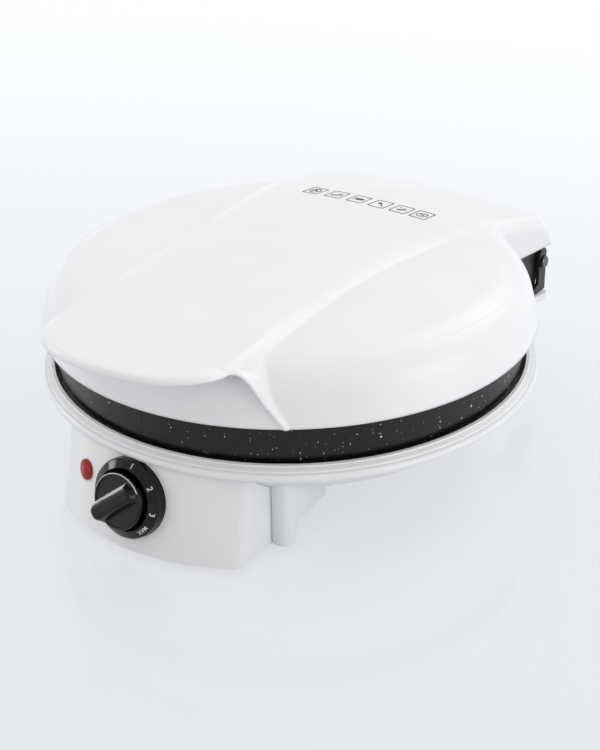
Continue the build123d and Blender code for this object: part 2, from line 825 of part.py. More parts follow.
def upper_plate():
    """Cast plate with a raised middle, a rim that meets the pan and a closing flange."""
    low = pan_top + fit_gap
    inner = plate_radius - plate_rim_width
    face_z = low + plate_recess
    plate = turned([
        (0.0, face_z),
        (inner - 6.0, face_z),
        (inner, low),
        (plate_radius, low),
        (plate_radius, low + 3.0),
        (plate_flange_radius, low + 4.0),
        (plate_flange_radius, low + 7.0),
        (plate_radius - 2.0, low + 7.0),
        (plate_radius - 6.0, face_z + plate_thickness),
        (0.0, face_z + plate_thickness),
    ])
    for spot in ring_of(lid_post_count, lid_post_circle):
        plate -= post(lid_screw_radius + running_gap, face_z - 1, upper_plate_top() + 1, spot)
        plate -= post(lid_screw_radius * 2, face_z - 1, face_z + 2.2, spot)
    for hole in clamp_holes(upper_plate_top(), 1):
        plate -= hole
    for side in (1, -1):
        for spot in arm_screw_spots(side):
            plate -= post(
                arm_screw_radius + running_gap, upper_plate_top() - clamp_screw_depth, upper_plate_top() + 1, spot
            )
    return plate


def lid_screws():
    """Countersunk into the upper plate, they hold it to the lid's posts."""
    face_z = pan_top + fit_gap + plate_recess
    screws = []
    for spot in ring_of(lid_post_count, lid_post_circle):
        shank = post(lid_screw_radius, face_z + 0.2, upper_plate_top() + 12.0, spot)
        head = post(lid_screw_radius * 2 - seat_gap, face_z + 0.2, face_z + 2.1, spot)
        screws.append(shank + head)
    return Compound(children=screws)


# Hinge

def arm_screw_spots(side):
    """Places of the two screws in one arm's flange."""
    x = arm_inner_x - arm_flange_width / 2
    return [(side * x, arm_front_y + 7.0), (side * x, arm_front_y + arm_flange_length - 7.0)]


def arm_screws():
    """Screws that hold both arms on the upper plate."""
    seat = upper_plate_top() + seat_gap + 5.0 + seat_gap
    screws = []
    for side in (1, -1):
        for spot in arm_screw_spots(side):
            shank = post(arm_screw_radius, upper_plate_top() - clamp_screw_depth + 0.2, seat, spot)
            head = post(arm_screw_radius * 1.9, seat, seat + 2.0, spot)
            screws.append(shank + head)
    return Compound(children=screws)


def hinge_arm(side):
    """Cast arm from the upper plate down to the pin, with a heel below it."""
    seat = upper_plate_top() + seat_gap
    with BuildSketch(Plane.YZ) as outline:
        with BuildLine():
            Polyline(
                (arm_front_y, seat),
                (arm_front_y, seat + 5.0),
                (arm_front_y + 24.0, seat + 13.0),
                (196.0, seat + 9.0),
                (230.0, 42.0),
                (hinge_y + 6.0, hinge_z + 6.0),
                (hinge_y - 3.0, hinge_z - 8.0),
                (hinge_y - 6.0, shelf_top + 4.2),
                (hinge_y - 22.0, shelf_top + 4.2),
                (206.0, 30.0),
                (196.0, 38.0),
                (194.0, seat),
                close=True,
            )
        make_face()
        with Locations((hinge_y, hinge_z)):
            Circle(arm_boss_radius)
            Circle(pin_radius + running_gap, mode=Mode.SUBTRACT)
    plate = extrude(outline.sketch, arm_thickness)
    flange = slab((-arm_flange_width, 0.5), (arm_front_y, arm_front_y + arm_flange_length), (seat, seat + 5.0))
    arm = Pos(arm_inner_x, 0, 0) * (plate + flange)
    for spot in arm_screw_spots(1):
        arm -= post(arm_screw_radius + running_gap, seat - 1, seat + 6.0, spot)
    return arm if side > 0 else mirrored(arm)


def bracket_screw_spots(side):
    """Places of the two screws in one bracket's foot."""
    return [(side * (bracket_foot_inner_x + 5.5), y) for y in (bracket_foot_front_y + 5, bracket_foot_rear_y - 5)]


def hinge_bracket(side):
    """Bent steel bracket: a foot on the shelf and a narrow upright."""
    t = bracket_thickness
    low = shelf_top + seat_gap
    foot = slab((bracket_foot_inner_x, bracket_x + t), (bracket_foot_front_y, bracket_foot_rear_y), (low, low + t))
    profile = [
        (bracket_foot_front_y, low),
        (bracket_foot_rear_y + 6.0, low),
        (hinge_y + bracket_width / 2, low + 9.0),
        (hinge_y + bracket_width / 2, hinge_z + bracket_rise - 3.0),
        (hinge_y + bracket_width / 2 - 3.0, hinge_z + bracket_rise),
        (hinge_y - bracket_width / 2 + 3.0, hinge_z + bracket_rise),
        (hinge_y - bracket_width / 2, hinge_z + bracket_rise - 3.0),
        (hinge_y - bracket_width / 2, low + 9.0),
        (bracket_foot_front_y, low + 4.0),
    ]
    upright = extrude(make_face(Plane.YZ * Polyline(*profile, close=True)), t)
    bracket = foot + Pos(bracket_x, 0, 0) * upright
    bracket -= Pos(bracket_x - 1, hinge_y, hinge_z) * Cylinder(
        pin_radius + running_gap, t + 2, rotation=(0, 90, 0), align=(Align.CENTER, Align.CENTER, Align.MIN)
    )
    for spot in bracket_screw_spots(1):
        bracket -= post(1.6 + running_gap, low - 1, low + t + 1, spot)
    return bracket if side > 0 else mirrored(bracket)


def hinge_pin(side):
    """Headed pin through the bracket and the arm, with its end riveted over."""
    outer = bracket_x + bracket_thickness + seat_gap
    inner = arm_inner_x - seat_gap
    low_end = (Align.CENTER, Align.CENTER, Align.MIN)
    shank = Pos(inner, hinge_y, hinge_z) * Cylinder(pin_radius, outer - inner, rotation=(0, 90, 0), align=low_end)
    head = Pos(outer, hinge_y, hinge_z) * Cylinder(
        pin_head_radius, pin_head_length, rotation=(0, 90, 0), align=low_end
    )
    head = chamfer(head.edges().group_by(Axis.X)[-1], 1.0)
    rivet = Pos(inner - pin_rivet_length, hinge_y, hinge_z) * Cylinder(
        pin_rivet_radius, pin_rivet_length, rotation=(0, 90, 0), align=low_end
    )
    rivet = chamfer(rivet.edges().group_by(Axis.X)[0], 0.8)
    pin = shank + head + rivet
    return pin if side > 0 else mirrored(pin)


def bracket_screws():
    """Screws of both bracket feet."""
    low = shelf_top + seat_gap + bracket_thickness + seat_gap
    screws = []
    for side in (1, -1):
        for spot in bracket_screw_spots(side):
            shank = post(1.6, shelf_top - shelf_thickness, low, spot)
            head = post(3.2, low, low + 1.8, spot)
            screws.append(shank + head)
    return Compound(children=screws)


# Dial, knob, thermostat and lamp

def face_place(x, z, depth=0.0):
    """Frame on the housing's front face, its z axis along the outward normal."""
    step = 0.01
    along_x = Vector(step, housing_front(x + step, z) - housing_front(x, z), 0).normalized()
    along_z = Vector(0, housing_lean, 1).normalized()
    normal = along_x.cross(along_z).normalized()
    origin = Vector(x, housing_front(x, z), z) - normal * depth
    flat_x = (along_x - normal * along_x.dot(normal)).normalized()
    return Plane(origin=origin, x_dir=flat_x, z_dir=normal).location


def dial_place():
    """Frame on the flat seat of the dial."""
    return face_place(dial_x, dial_z, dial_seat_depth)


def lamp_place():
    """Frame of the pilot lamp on the front face."""
    return face_place(lamp_x, lamp_z)


def dial_ring():
    """Fixed ring with a conical face around the knob."""
    back = seat_gap
    edge = dial_seat_depth + dial_edge_height
    inner = dial_seat_depth + dial_inner_height
    ring = turned([
        (shaft_radius + 3.0, back),
        (dial_radius, back),
        (dial_radius, edge - 1.0),
        (dial_radius - 1.0, edge),
        (dial_bore + 1.2, inner),
        (dial_bore, inner - 1.0),
        (dial_bore, back + 2.0),
        (shaft_radius + 3.0, back + 2.0),
    ])
    return dial_place() * ring


def knob():
    """Round knob with a bar grip whose one end is the pointer."""
    low = seat_gap + 2.0 + fit_gap
    face = dial_seat_depth + knob_face_height
    top = dial_seat_depth + knob_bar_height
    body = turned([
        (0.0, low),
        (knob_radius, low),
        (knob_radius, face - 1.2),
        (knob_radius - 1.2, face),
        (0.0, face),
    ])
    dish = Pos(0, 0, face) * Cylinder(knob_radius - 2.4, 1.6)
    body -= dish
    # the bar grip narrows towards its top
    length = knob_bar_tip + knob_bar_tail
    draft = (knob_bar_base_width - knob_bar_top_width) / 2
    base = Pos(0, 0, face - 2.4) * RectangleRounded(length, knob_bar_base_width, knob_bar_base_width * 0.4)
    crest = Pos(0, 0, top) * RectangleRounded(
        length - 2 * draft, knob_bar_top_width, knob_bar_top_width * 0.4
    )
    bar = loft([base, crest])
    bar = Rot(0, 0, knob_bar_angle) * Pos((knob_bar_tail - knob_bar_tip) / 2, 0, 0) * bar
    whole = body + bar
    whole -= Cylinder(shaft_radius + running_gap, 2 * (low + 9.0))
    return dial_place() * whole


def thermostat_shaft():
    """Spindle that turns with the knob, with its driving flat."""
    low = -dial_seat_wall() - 2.0
    high = seat_gap + 2.0 + fit_gap + 8.0
    spindle = Pos(0, 0, low) * Cylinder(
        shaft_radius, high - low, align=(Align.CENTER, Align.CENTER, Align.MIN)
    )
    return dial_place() * spindle


def thermostat():
    """Round thermostat body with a fixing flange behind the seat."""
    back = -dial_seat_wall() - seat_gap
    body = turned([
        (0.0, back - thermostat_depth),
        (thermostat_radius - 2.0, back - thermostat_depth),
        (thermostat_radius, back - thermostat_depth + 2.0),
        (thermostat_radius, back - 3.0),
        (thermostat_radius - 4.0, back),
        (0.0, back),
    ])
    ears = Pos(0, 0, back - 1.0) * Box(44.0, 10.0, 2.0)
    body += ears
    tabs = Pos(0, 0, back - thermostat_depth - 4.0) * (
        Pos(-8, 0, 0) * Box(1.0, 6.3, 9.0) + Pos(8, 0, 0) * Box(1.0, 6.3, 9.0)
    )
    body += tabs
    body -= Pos(0, 0, back) * Cylinder(shaft_radius + running_gap, 6.0)
    return dial_place() * body


def pilot_lens():
    """Red lens with a domed front and a stem through the wall."""
    flange = 0.35
    dome_radius = (lamp_radius**2 + lamp_rise**2) / (2 * lamp_rise)
    disc = post(lamp_radius, flange, flange + 1.0, (0, 0))
    cap = Pos(0, 0, flange + 1.0 + lamp_rise - dome_radius) * Sphere(dome_radius)
    cap &= post(lamp_radius, flange + 0.5, flange + 1.0 + lamp_rise, (0, 0))
    stem = post(lamp_body_radius, -housing_wall - 3.0, flange + 0.5, (0, 0))
    return lamp_place() * (disc + cap + stem)


def pilot_lamp():
    """Neon lamp holder behind the lens."""
    top = -housing_wall - 3.0 - seat_gap
    holder = Pos(0, 0, top - lamp_body_length) * Cylinder(
        lamp_body_radius + 1.0, lamp_body_length, align=(Align.CENTER, Align.CENTER, Align.MIN)
    )
    for side in (1, -1):
        leg = Box(0.8, 2.8, 8.0, align=(Align.CENTER, Align.CENTER, Align.MAX))
        holder += Pos(side * 3.0, 0, top - lamp_body_length + 0.5) * leg
    return lamp_place() * holder


# Electrical pieces in the rear support

def terminal_block():
    """Four-way terminal block on the rear cover."""
    low = housing_bottom + cover_thickness + seat_gap
    x = -6.0
    y = 176.0
    block = slab(
        (x - terminal_length / 2, x + terminal_length / 2),
        (y - terminal_width / 2, y + terminal_width / 2),
        (low, low + terminal_height),
    )
    pitch = terminal_length / terminal_ways
    for index in range(terminal_ways):
        spot = x - terminal_length / 2 + pitch * (index + 0.5)
        block -= Pos(spot, y, low + terminal_height / 2) * Cylinder(2.2, terminal_width + 2, rotation=(90, 0, 0))
        block -= post(2.6, low + terminal_height - 2.5, low + terminal_height + 1, (spot, y))
    return block


def gland_place():
    """Frame in the rear support's sloping rear wall."""
    share = (gland_z - housing_bottom) / (shelf_top - shelf_thickness - housing_bottom)
    y = support_foot_rear_y + share * (support_top_rear_y - support_foot_rear_y)
    slope = atan2(
        support_top_rear_y - support_foot_rear_y,
        shelf_top - shelf_thickness - housing_bottom,
    )
    normal = Vector(0, cos(slope), -sin(slope))
    return Plane(origin=(gland_x, y, gland_z), x_dir=(1, 0, 0), z_dir=normal).location


def cord_gland():
    """Flanged bush in the rear wall that a supply cord would pass through."""
    bush = turned([
        (gland_bore, -tray_wall - 4.0),
        (gland_radius, -tray_wall - 4.0),
        (gland_radius, seat_gap),
        (gland_radius + 2.0, seat_gap),
        (gland_radius + 1.0, 2.0),
        (gland_bore + 1.0, 3.0),
        (gland_bore, 2.4),
    ])
    return gland_place() * bush


def build_nodes():
    """Every sub-part by name."""
    lower_plane = element_plane(pan_bottom, -1)
    upper_plane = element_plane(upper_plate_top(), 1)
    nodes = {
        "base_tray": base_tray(),
        "control_housing": control_housing(),
        "control_cover": bottom_cover("front"),
        "rear_cover": bottom_cover("rear"),
        "control_cover_screws": cover_screws("front"),
        "rear_cover_screws": cover_screws("rear"),
        "lower_pan": lower_pan(),
        "pan_screws": pan_screws(),
        "lower_element": element(lower_plane, -1),
        "lower_element_clamps": clamps(lower_plane, pan_bottom),
        "lower_clamp_screws": clamp_screws(pan_bottom, -1),
        "lower_reflector": reflector(pan_bottom, -1),
        "lid_shell": lid_shell(),
        "upper_plate": upper_plate(),
        "lid_screws": lid_screws(),
        "upper_element": element(upper_plane, 1),
        "upper_element_clamps": clamps(upper_plane, upper_plate_top()),
        "upper_clamp_screws": clamp_screws(upper_plate_top(), 1),
        "arm_screws": arm_screws(),
        "upper_reflector": reflector(upper_plate_top(), 1),
        "bracket_screws": bracket_screws(),
        "dial_ring": dial_ring(),
        "knob": knob(),
        "thermostat_shaft": thermostat_shaft(),
        "thermostat": thermostat(),
        "pilot_lens": pilot_lens(),
        "pilot_lamp": pilot_lamp(),
        "terminal_block": terminal_block(),
        "cord_gland": cord_gland(),
    }
    for side, word in ((1, "right"), (-1, "left")):
        nodes[f"hinge_arm_{word}"] = hinge_arm(side)
        nodes[f"hinge_bracket_{word}"] = hinge_bracket(side)
        nodes[f"hinge_pin_{word}"] = hinge_pin(side)
        nodes[f"foot_front_{word}"] = rubber_foot(side, foot_front_y)
        nodes[f"foot_rear_{word}"] = rubber_foot(side, foot_rear_y)
    return nodes


def table_shift(nodes):
    """Move that puts the origin on the table under the middle of the outline."""
    boxes = [shape.bounding_box() for shape in nodes.values()]
    front = min(box.min.Y for box in boxes)
    rear = max(box.max.Y for box in boxes)
    bottom = min(box.min.Z for box in boxes)
    return Vector(0, -(front + rear) / 2, -bottom)


if __name__ == "__main__":
    os.makedirs("parts", exist_ok=True)
    pieces = build_nodes()
    shift = table_shift(pieces)
    print("shift of the plates' axis", round(shift.Y, 4), round(shift.Z, 4))
    for name, shape in pieces.items():
        export_step(Pos(shift.X, shift.Y, shift.Z) * shape, f"parts/{name}.step")
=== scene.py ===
import json
import math

import bmesh
import bpy
import numpy as np
from mathutils import Matrix, Vector


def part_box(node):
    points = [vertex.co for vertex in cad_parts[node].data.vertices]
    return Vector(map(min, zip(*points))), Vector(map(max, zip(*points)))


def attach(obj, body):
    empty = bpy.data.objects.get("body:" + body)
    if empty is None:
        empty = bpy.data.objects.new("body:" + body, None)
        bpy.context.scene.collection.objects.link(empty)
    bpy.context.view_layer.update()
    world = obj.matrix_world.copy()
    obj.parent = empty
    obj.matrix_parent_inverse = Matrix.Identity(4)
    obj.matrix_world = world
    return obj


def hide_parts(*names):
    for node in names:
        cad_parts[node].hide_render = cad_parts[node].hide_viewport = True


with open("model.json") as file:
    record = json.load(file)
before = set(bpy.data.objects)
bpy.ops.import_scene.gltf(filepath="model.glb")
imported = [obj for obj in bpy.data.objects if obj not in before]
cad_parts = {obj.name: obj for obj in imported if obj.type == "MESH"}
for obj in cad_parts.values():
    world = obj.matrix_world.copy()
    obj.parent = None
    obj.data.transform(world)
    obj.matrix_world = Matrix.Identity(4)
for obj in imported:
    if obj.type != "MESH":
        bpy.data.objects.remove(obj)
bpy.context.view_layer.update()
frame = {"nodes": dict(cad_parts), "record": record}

# Sizes here are in millimetres about the vertical axis of the plates, with
# z = 0 at the widest edge of the rim. Two values place them in the frame.
MM = 0.001
PAN_BOTTOM = 1.0
pan_low, pan_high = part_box("lower_pan")
axis_y = (pan_low[1] + pan_high[1]) / 2
rim_z = pan_low[2] - PAN_BOTTOM * MM


def placed(points):
    """Points about the plates' axis, in the frame and in metres."""
    return np.asarray(points) * MM + np.array([0.0, axis_y, rim_z])


# Node materials

def linear(hex_colour):
    """An sRGB hex colour as linear RGBA."""
    levels = [int(hex_colour[i:i + 2], 16) / 255 for i in (1, 3, 5)]
    return [v / 12.92 if v <= 0.04045 else ((v + 0.055) / 1.055) ** 2.4 for v in levels] + [1.0]


def in_use(sockets):
    """The sockets that a node's settings leave in use, by place and by name."""
    kept = [socket for socket in sockets if socket.enabled]
    return dict(enumerate(kept)) | {socket.name: socket for socket in reversed(kept)}


def add(tree, kind, inputs=None, feeds=None, **settings):
    """Adds a node. Its inputs are numbers, hex colours, sockets, or nodes whose first result feeds them."""
    made = tree.nodes.new(kind)
    for name, value in settings.items():
        setattr(made, name, value)
    sockets = in_use(made.inputs)
    for place, value in (inputs or {}).items():
        if isinstance(value, bpy.types.Node):
            value = in_use(value.outputs)[0]
        if isinstance(value, bpy.types.NodeSocket):
            tree.links.new(value, sockets[place])
        elif isinstance(value, str):
            sockets[place].default_value = linear(value)
        else:
            sockets[place].default_value = value
    if feeds is not None:
        tree.links.new(in_use(made.outputs)[0], feeds)
    return made


def new_finish(name, same_all_over):
    """A material, its tree, its shader with the values that are the same all over, and object coordinates."""
    material = bpy.data.materials.new(name)
    material.use_nodes = True
    tree = material.node_tree
    tree.nodes.clear()
    shader = add(tree, "ShaderNodeBsdfPrincipled", same_all_over)
    add(tree, "ShaderNodeOutputMaterial", {"Surface": shader})
    where = add(tree, "ShaderNodeTexCoord").outputs["Object"]
    return material, tree, shader, where


# Noise lies between these two levels nearly everywhere
NOISE_LOW = 0.3
NOISE_HIGH = 0.7


def clouded(tree, shader, where, grain, first, second, detail=2.0):
    """Base colour that wanders between two colours, in clouds about that many millimetres across."""
    cloud = add(tree, "ShaderNodeTexNoise", {"Vector": where, "Scale": 1.0 / (grain * MM), "Detail": detail})
    add(tree, "ShaderNodeMix", {"Factor": cloud, "A": first, "B": second},
        feeds=shader.inputs["Base Color"], data_type="RGBA")


def hazed(tree, shader, where, grain, least, most, detail=2.0):
    """Roughness that wanders between two values, in patches about that many millimetres across."""
    patch = add(tree, "ShaderNodeTexNoise", {"Vector": where, "Scale": 1.0 / (grain * MM), "Detail": detail})
    add(tree, "ShaderNodeMapRange", {
        "Value": patch, "From Min": NOISE_LOW, "From Max": NOISE_HIGH, "To Min": least, "To Max": most,
    }, feeds=shader.inputs["Roughness"])


def grained(tree, shader, where, grain, depth, strength, detail=2.0):
    """Relief of bumps about that many millimetres across, with their depth in millimetres."""
    bumps = add(tree, "ShaderNodeTexNoise", {"Vector": where, "Scale": 1.0 / (grain * MM), "Detail": detail})
    add(tree, "ShaderNodeBump", {"Height": bumps, "Strength": strength, "Distance": depth * MM},
        feeds=shader.inputs["Normal"])


def moulded_abs():
    """White ABS, injection moulded in a polished tool: an even gloss with a very slight waviness."""
    material, tree, shader, where = new_finish("white_moulded_abs", {
        "Roughness": 0.3, "IOR": 1.53, "Specular IOR Level": 0.4,
    })
    clouded(tree, shader, where, 60.0, "#E4E6EA", "#E9EBEE")
    # The denoiser leaves marks where a finish crosses a roughness of about 0.27, so this one stays above
    hazed(tree, shader, where, 25.0, 0.285, 0.335)
    grained(tree, shader, where, 12.0, 0.05, 0.12, detail=0.0)
    return material


def speck_layer(tree, where, spacing, reach, share):
    """Chips up to that reach in a share of the cells, each cell as wide as the spacing in millimetres."""
    cells = add(tree, "ShaderNodeTexVoronoi", {"Vector": where, "Scale": 1.0 / (spacing * MM)})
    chance = add(tree, "ShaderNodeSeparateColor", {"Color": cells.outputs["Color"]})
    size = add(tree, "ShaderNodeMath", {0: chance.outputs["Green"], 1: reach}, operation="MULTIPLY")
    near = add(tree, "ShaderNodeMath", {0: cells.outputs["Distance"], 1: size}, operation="LESS_THAN")
    kept = add(tree, "ShaderNodeMath", {0: chance.outputs["Red"], 1: 1.0 - share}, operation="GREATER_THAN")
    return add(tree, "ShaderNodeMath", {0: near, 1: kept}, operation="MULTIPLY")


# Layers of chips in the coating: spacing as a share of the first, reach in a cell, share of the cells
CHIP_LAYERS = ((1.0, 0.17, 0.42), (0.62, 0.16, 0.3), (2.4, 0.12, 0.4))
# Grain and depth of the waves that bend the chips' outlines, and grain of the ground, in millimetres
CHIP_WAVE = 2.5
CHIP_BEND = 0.9
COATING_GRAIN = 1.2


def granite_coating(name, spacing):
    """Sprayed PTFE coating with pale specks: a black satin with fine grain and scattered chips of white."""
    material, tree, shader, where = new_finish(name, {"Roughness": 0.34, "IOR": 1.38})
    wave = add(tree, "ShaderNodeTexNoise", {"Vector": where, "Scale": 1.0 / (CHIP_WAVE * MM)})
    shift = add(tree, "ShaderNodeVectorMath", {
        "Vector": wave.outputs["Color"], "Scale": CHIP_BEND * MM,
    }, operation="SCALE")
    bent = add(tree, "ShaderNodeVectorMath", {0: where, 1: shift}, operation="ADD")
    specks = None
    for apart, reach, share in CHIP_LAYERS:
        layer = speck_layer(tree, bent, spacing * apart, reach, share)
        if specks is not None:
            layer = add(tree, "ShaderNodeMath", {0: specks, 1: layer}, operation="MAXIMUM")
        specks = layer
    cloud = add(tree, "ShaderNodeTexNoise", {
        "Vector": where, "Scale": 1.0 / (COATING_GRAIN * MM), "Detail": 2.0,
    })
    ground = add(tree, "ShaderNodeMix", {"Factor": cloud, "A": "#0C0D0F", "B": "#151618"}, data_type="RGBA")
    add(tree, "ShaderNodeMix", {"Factor": specks, "A": ground, "B": "#C9C9C5"},
        feeds=shader.inputs["Base Color"], data_type="RGBA")
    hazed(tree, shader, where, 2.0, 0.3, 0.4)
    grained(tree, shader, where, 0.8, 0.04, 0.35)
    return material


def gloss_black():
    """Black ABS with a polished face, as on oven knobs: deep black, a sharp gloss and faint handling haze."""
    material, tree, shader, where = new_finish("black_gloss_abs", {
        "Roughness": 0.17, "IOR": 1.49, "Specular IOR Level": 0.28,
    })
    clouded(tree, shader, where, 14.0, "#040405", "#070708")
    hazed(tree, shader, where, 6.0, 0.13, 0.21)
    return material


def powder_black():
    """Sheet steel, powder coated black: a fine orange peel of about 0.6 mm and a dull sheen."""
    material, tree, shader, where = new_finish("black_powder_coat", {"Roughness": 0.45, "IOR": 1.5})
    clouded(tree, shader, where, 8.0, "#121315", "#1A1B1D")
    grained(tree, shader, where, 0.6, 0.03, 0.4)
    return material


def plated_steel(name, dark, light, roughness, grain):
    """Plated, passivated or turned metal: a grey or yellow metal with soft clouding."""
    material, tree, shader, where = new_finish(name, {"Roughness": roughness, "Metallic": 1.0})
    clouded(tree, shader, where, grain, dark, light, detail=4.0)
    hazed(tree, shader, where, grain / 3, roughness - 0.06, roughness + 0.08)
    return material


def rolled_aluminium():
    """Bright rolled aluminium sheet: fine lines along the rolling direction, about 0.3 mm apart."""
    material, tree, shader, where = new_finish("rolled_aluminium", {"Roughness": 0.3, "Metallic": 1.0})
    # The grain is drawn out along y, the rolling direction
    rolled = add(tree, "ShaderNodeMapping", {"Vector": where, "Scale": (1.0, 0.03, 1.0)})
    clouded(tree, shader, rolled, 0.3, "#C9CBCE", "#DADCDF", detail=3.0)
    hazed(tree, shader, rolled, 0.3, 0.25, 0.4, detail=3.0)
    return material


def clear_red():
    """Red tinted polycarbonate lens: a glossy, saturated red that is a little darker in its depth."""
    material, tree, shader, where = new_finish("red_polycarbonate", {
        "Roughness": 0.12, "IOR": 1.58, "Specular IOR Level": 0.18,
    })
    clouded(tree, shader, where, 5.0, "#8E0206", "#A00408")
    return material


def dull_moulding(name, dark, light, roughness, ior):
    """Dull moulded rubber or thermoset: slight clouding and a fine tooled grain of half a millimetre."""
    material, tree, shader, where = new_finish(name, {"Roughness": roughness, "IOR": ior})
    clouded(tree, shader, where, 4.0, dark, light)
    grained(tree, shader, where, 0.5, 0.03, 0.3)
    return material


def print_and_highlight_film(name, colour, worn):
    """Pad-printed ink, and the pale film of the painted highlights on the knob: an even film, slightly
    thinner in places, with less gloss than the moulding.
    """
    material, tree, shader, where = new_finish(name, {"Roughness": 0.42, "IOR": 1.48})
    clouded(tree, shader, where, 1.5, colour, worn)
    return material


white_abs = moulded_abs()
black_abs = gloss_black()
slot_of = {part["node"]: part["material_slot"] for part in frame["record"]["subparts"]}
finishes = {
    "white_plastic": white_abs,
    "pan_coating": granite_coating("granite_nonstick", 3.4),
    "heater_steel": plated_steel("annealed_heater_sheath", "#5E5A52", "#77736A", 0.42, 9.0),
    "reflector_metal": rolled_aluminium(),
    "clamp_steel": plated_steel("zinc_plated_clamp", "#A9ACAE", "#BFC2C4", 0.32, 5.0),
    "screw_steel": plated_steel("zinc_plated_screw", "#A3A6A9", "#BABDC0", 0.28, 3.0),
    "black_steel": powder_black(),
    "arm_metal": granite_coating("granite_coated_casting", 4.0),
    "pin_steel": plated_steel("dark_plated_pin", "#55575A", "#6C6E72", 0.3, 3.0),
    "black_plastic": black_abs,
    "shaft_brass": plated_steel("turned_brass", "#B8964F", "#C9A862", 0.28, 3.0),
    slot_of["thermostat"]: dull_moulding("brown_phenolic", "#2A211C", "#352B25", 0.5, 1.6),
    "red_lens": clear_red(),
    "pale_plastic": dull_moulding("natural_nylon", "#CFCBBE", "#DBD7CA", 0.45, 1.53),
    "rubber": dull_moulding("black_rubber", "#1B1B1B", "#242424", 0.7, 1.52),
}
for node, solid in frame["nodes"].items():
    solid.data.materials.clear()
    solid.data.materials.append(finishes[slot_of[node]])


# The lid's outer form, as a field that is negative inside it

# The lid's edge and the thickness of its wall
LID_EDGE_Z = 40.5
LID_EDGE_RADIUS = 198.0
LID_WALL = 3.0

# The dome: lean of its wall, radii of its shoulder and crown, and its top
DOME_LEAN = math.radians(15.0)
DOME_SHOULDER = 35.0
DOME_CROWN = 1527.0
DOME_CROWN_Z = 95.0

# The raised panel: its rear end and the roll above that, its front end, and its rounded edges
HOOD_REAR = 240.0
HOOD_ROLL = 26.0
PANEL_FRONT = -158.0
RIDGE_EDGE = 3.5
PANEL_SIDE_EDGE = 3.0

# The grip: half-width, reach, middle and squareness of its outline, how far it overlaps the panel,
# its arched underside, and the rounded edges above and below
GRIP_HALF = 90.5
GRIP_REACH = 99.0
GRIP_MIDDLE = -140.0
GRIP_SQUARENESS = 2.37
GRIP_OVERLAP = 22.0
GRIP_UNDER = 86.0
GRIP_UNDER_ARCH = 3.0
GRIP_TOP_EDGE = 4.0
GRIP_LOW_EDGE = 2.4

# Fillet round the panel and the grip: small under the grip, and this much wider above that height
# or behind that place, over a short run
SEAM_FILLET = 1.6
SEAM_FILLET_WIDER = 3.6
WIDER_ABOVE_Z = 84.0
WIDER_RUN_Z = 4.0
WIDER_BEHIND_Y = -150.0
WIDER_RUN_Y = 10.0
WEB_FILLET = 2.4
INNER_FILLET = 3.0

# y, half-width at the ridge, ridge height, width of the slope beside it, its drop, crown
panel_rows = np.array([
    (-190.0, 76.5, 91.4, 6.0, 8.5, 4.2),
    (-158.0, 76.0, 92.2, 6.0, 8.5, 4.0),
    (-110.0, 73.6, 94.3, 8.0, 7.0, 3.4),
    (-30.0, 73.0, 97.2, 9.0, 6.5, 2.8),
    (40.0, 80.5, 96.6, 9.0, 6.5, 3.0),
    (110.0, 93.0, 90.4, 8.0, 6.5, 4.0),
    (170.0, 102.5, 80.4, 7.0, 8.0, 5.2),
    (210.0, 109.5, 72.4, 7.0, 9.5, 5.6),
    (245.0, 115.5, 65.4, 6.0, 10.0, 5.8),
])
grip_rows = np.array([
    (-250.0, 73.0, 88.0, 24.0, 17.0, 5.2),
    (-190.0, 73.5, 90.2, 20.0, 17.0, 4.4),
    (-157.0, 76.0, 92.2, 12.0, 17.0, 4.0),
    (-130.0, 74.6, 93.2, 12.0, 17.0, 3.7),
])

# Keeps divisions clear of zero
TINY = 1e-9


def through(xs, ys, at):
    """A smooth curve through the given values."""
    slopes = np.gradient(ys, xs)
    i = np.clip(np.searchsorted(xs, at) - 1, 0, len(xs) - 2)
    step = xs[i + 1] - xs[i]
    t = np.clip((at - xs[i]) / step, 0.0, 1.0)
    first = (1 + 2 * t) * (1 - t) ** 2 * ys[i] + t * (1 - t) ** 2 * step * slopes[i]
    last = t * t * (3 - 2 * t) * ys[i + 1] + t * t * (t - 1) * step * slopes[i + 1]
    return first + last


def both(a, b, soft):
    """What two forms share, with its outer edge rounded."""
    return np.minimum(-soft, np.maximum(a, b)) + np.hypot(np.maximum(a + soft, 0), np.maximum(b + soft, 0))


def either(a, b, soft):
    """Two forms as one, with the corner between them filled."""
    return np.maximum(soft, np.minimum(a, b)) - np.hypot(np.maximum(soft - a, 0), np.maximum(soft - b, 0))


def dome_field(x, y, z):
    """Leaning wall, rolled shoulder and shallow crown, turned about the axis."""
    r = np.hypot(x, y)
    wall_line = LID_EDGE_RADIUS * math.cos(DOME_LEAN) + LID_EDGE_Z * math.sin(DOME_LEAN)
    crown_middle = DOME_CROWN_Z - DOME_CROWN
    across = wall_line - DOME_SHOULDER - crown_middle * math.sin(DOME_LEAN)
    along = math.sqrt((DOME_CROWN - DOME_SHOULDER) ** 2 - across ** 2)
    roll_r = across * math.cos(DOME_LEAN) - along * math.sin(DOME_LEAN)
    roll_z = crown_middle + across * math.sin(DOME_LEAN) + along * math.cos(DOME_LEAN)
    roll_end = math.atan2(roll_z - crown_middle, roll_r)
    turn = np.arctan2(z - roll_z, r - roll_r)
    wall = r * math.cos(DOME_LEAN) + z * math.sin(DOME_LEAN) - wall_line
    roll = np.hypot(r - roll_r, z - roll_z) - DOME_SHOULDER
    crown = np.hypot(r, z - crown_middle) - DOME_CROWN
    return np.where(turn < DOME_LEAN, wall, np.where(turn < roll_end, roll, crown))


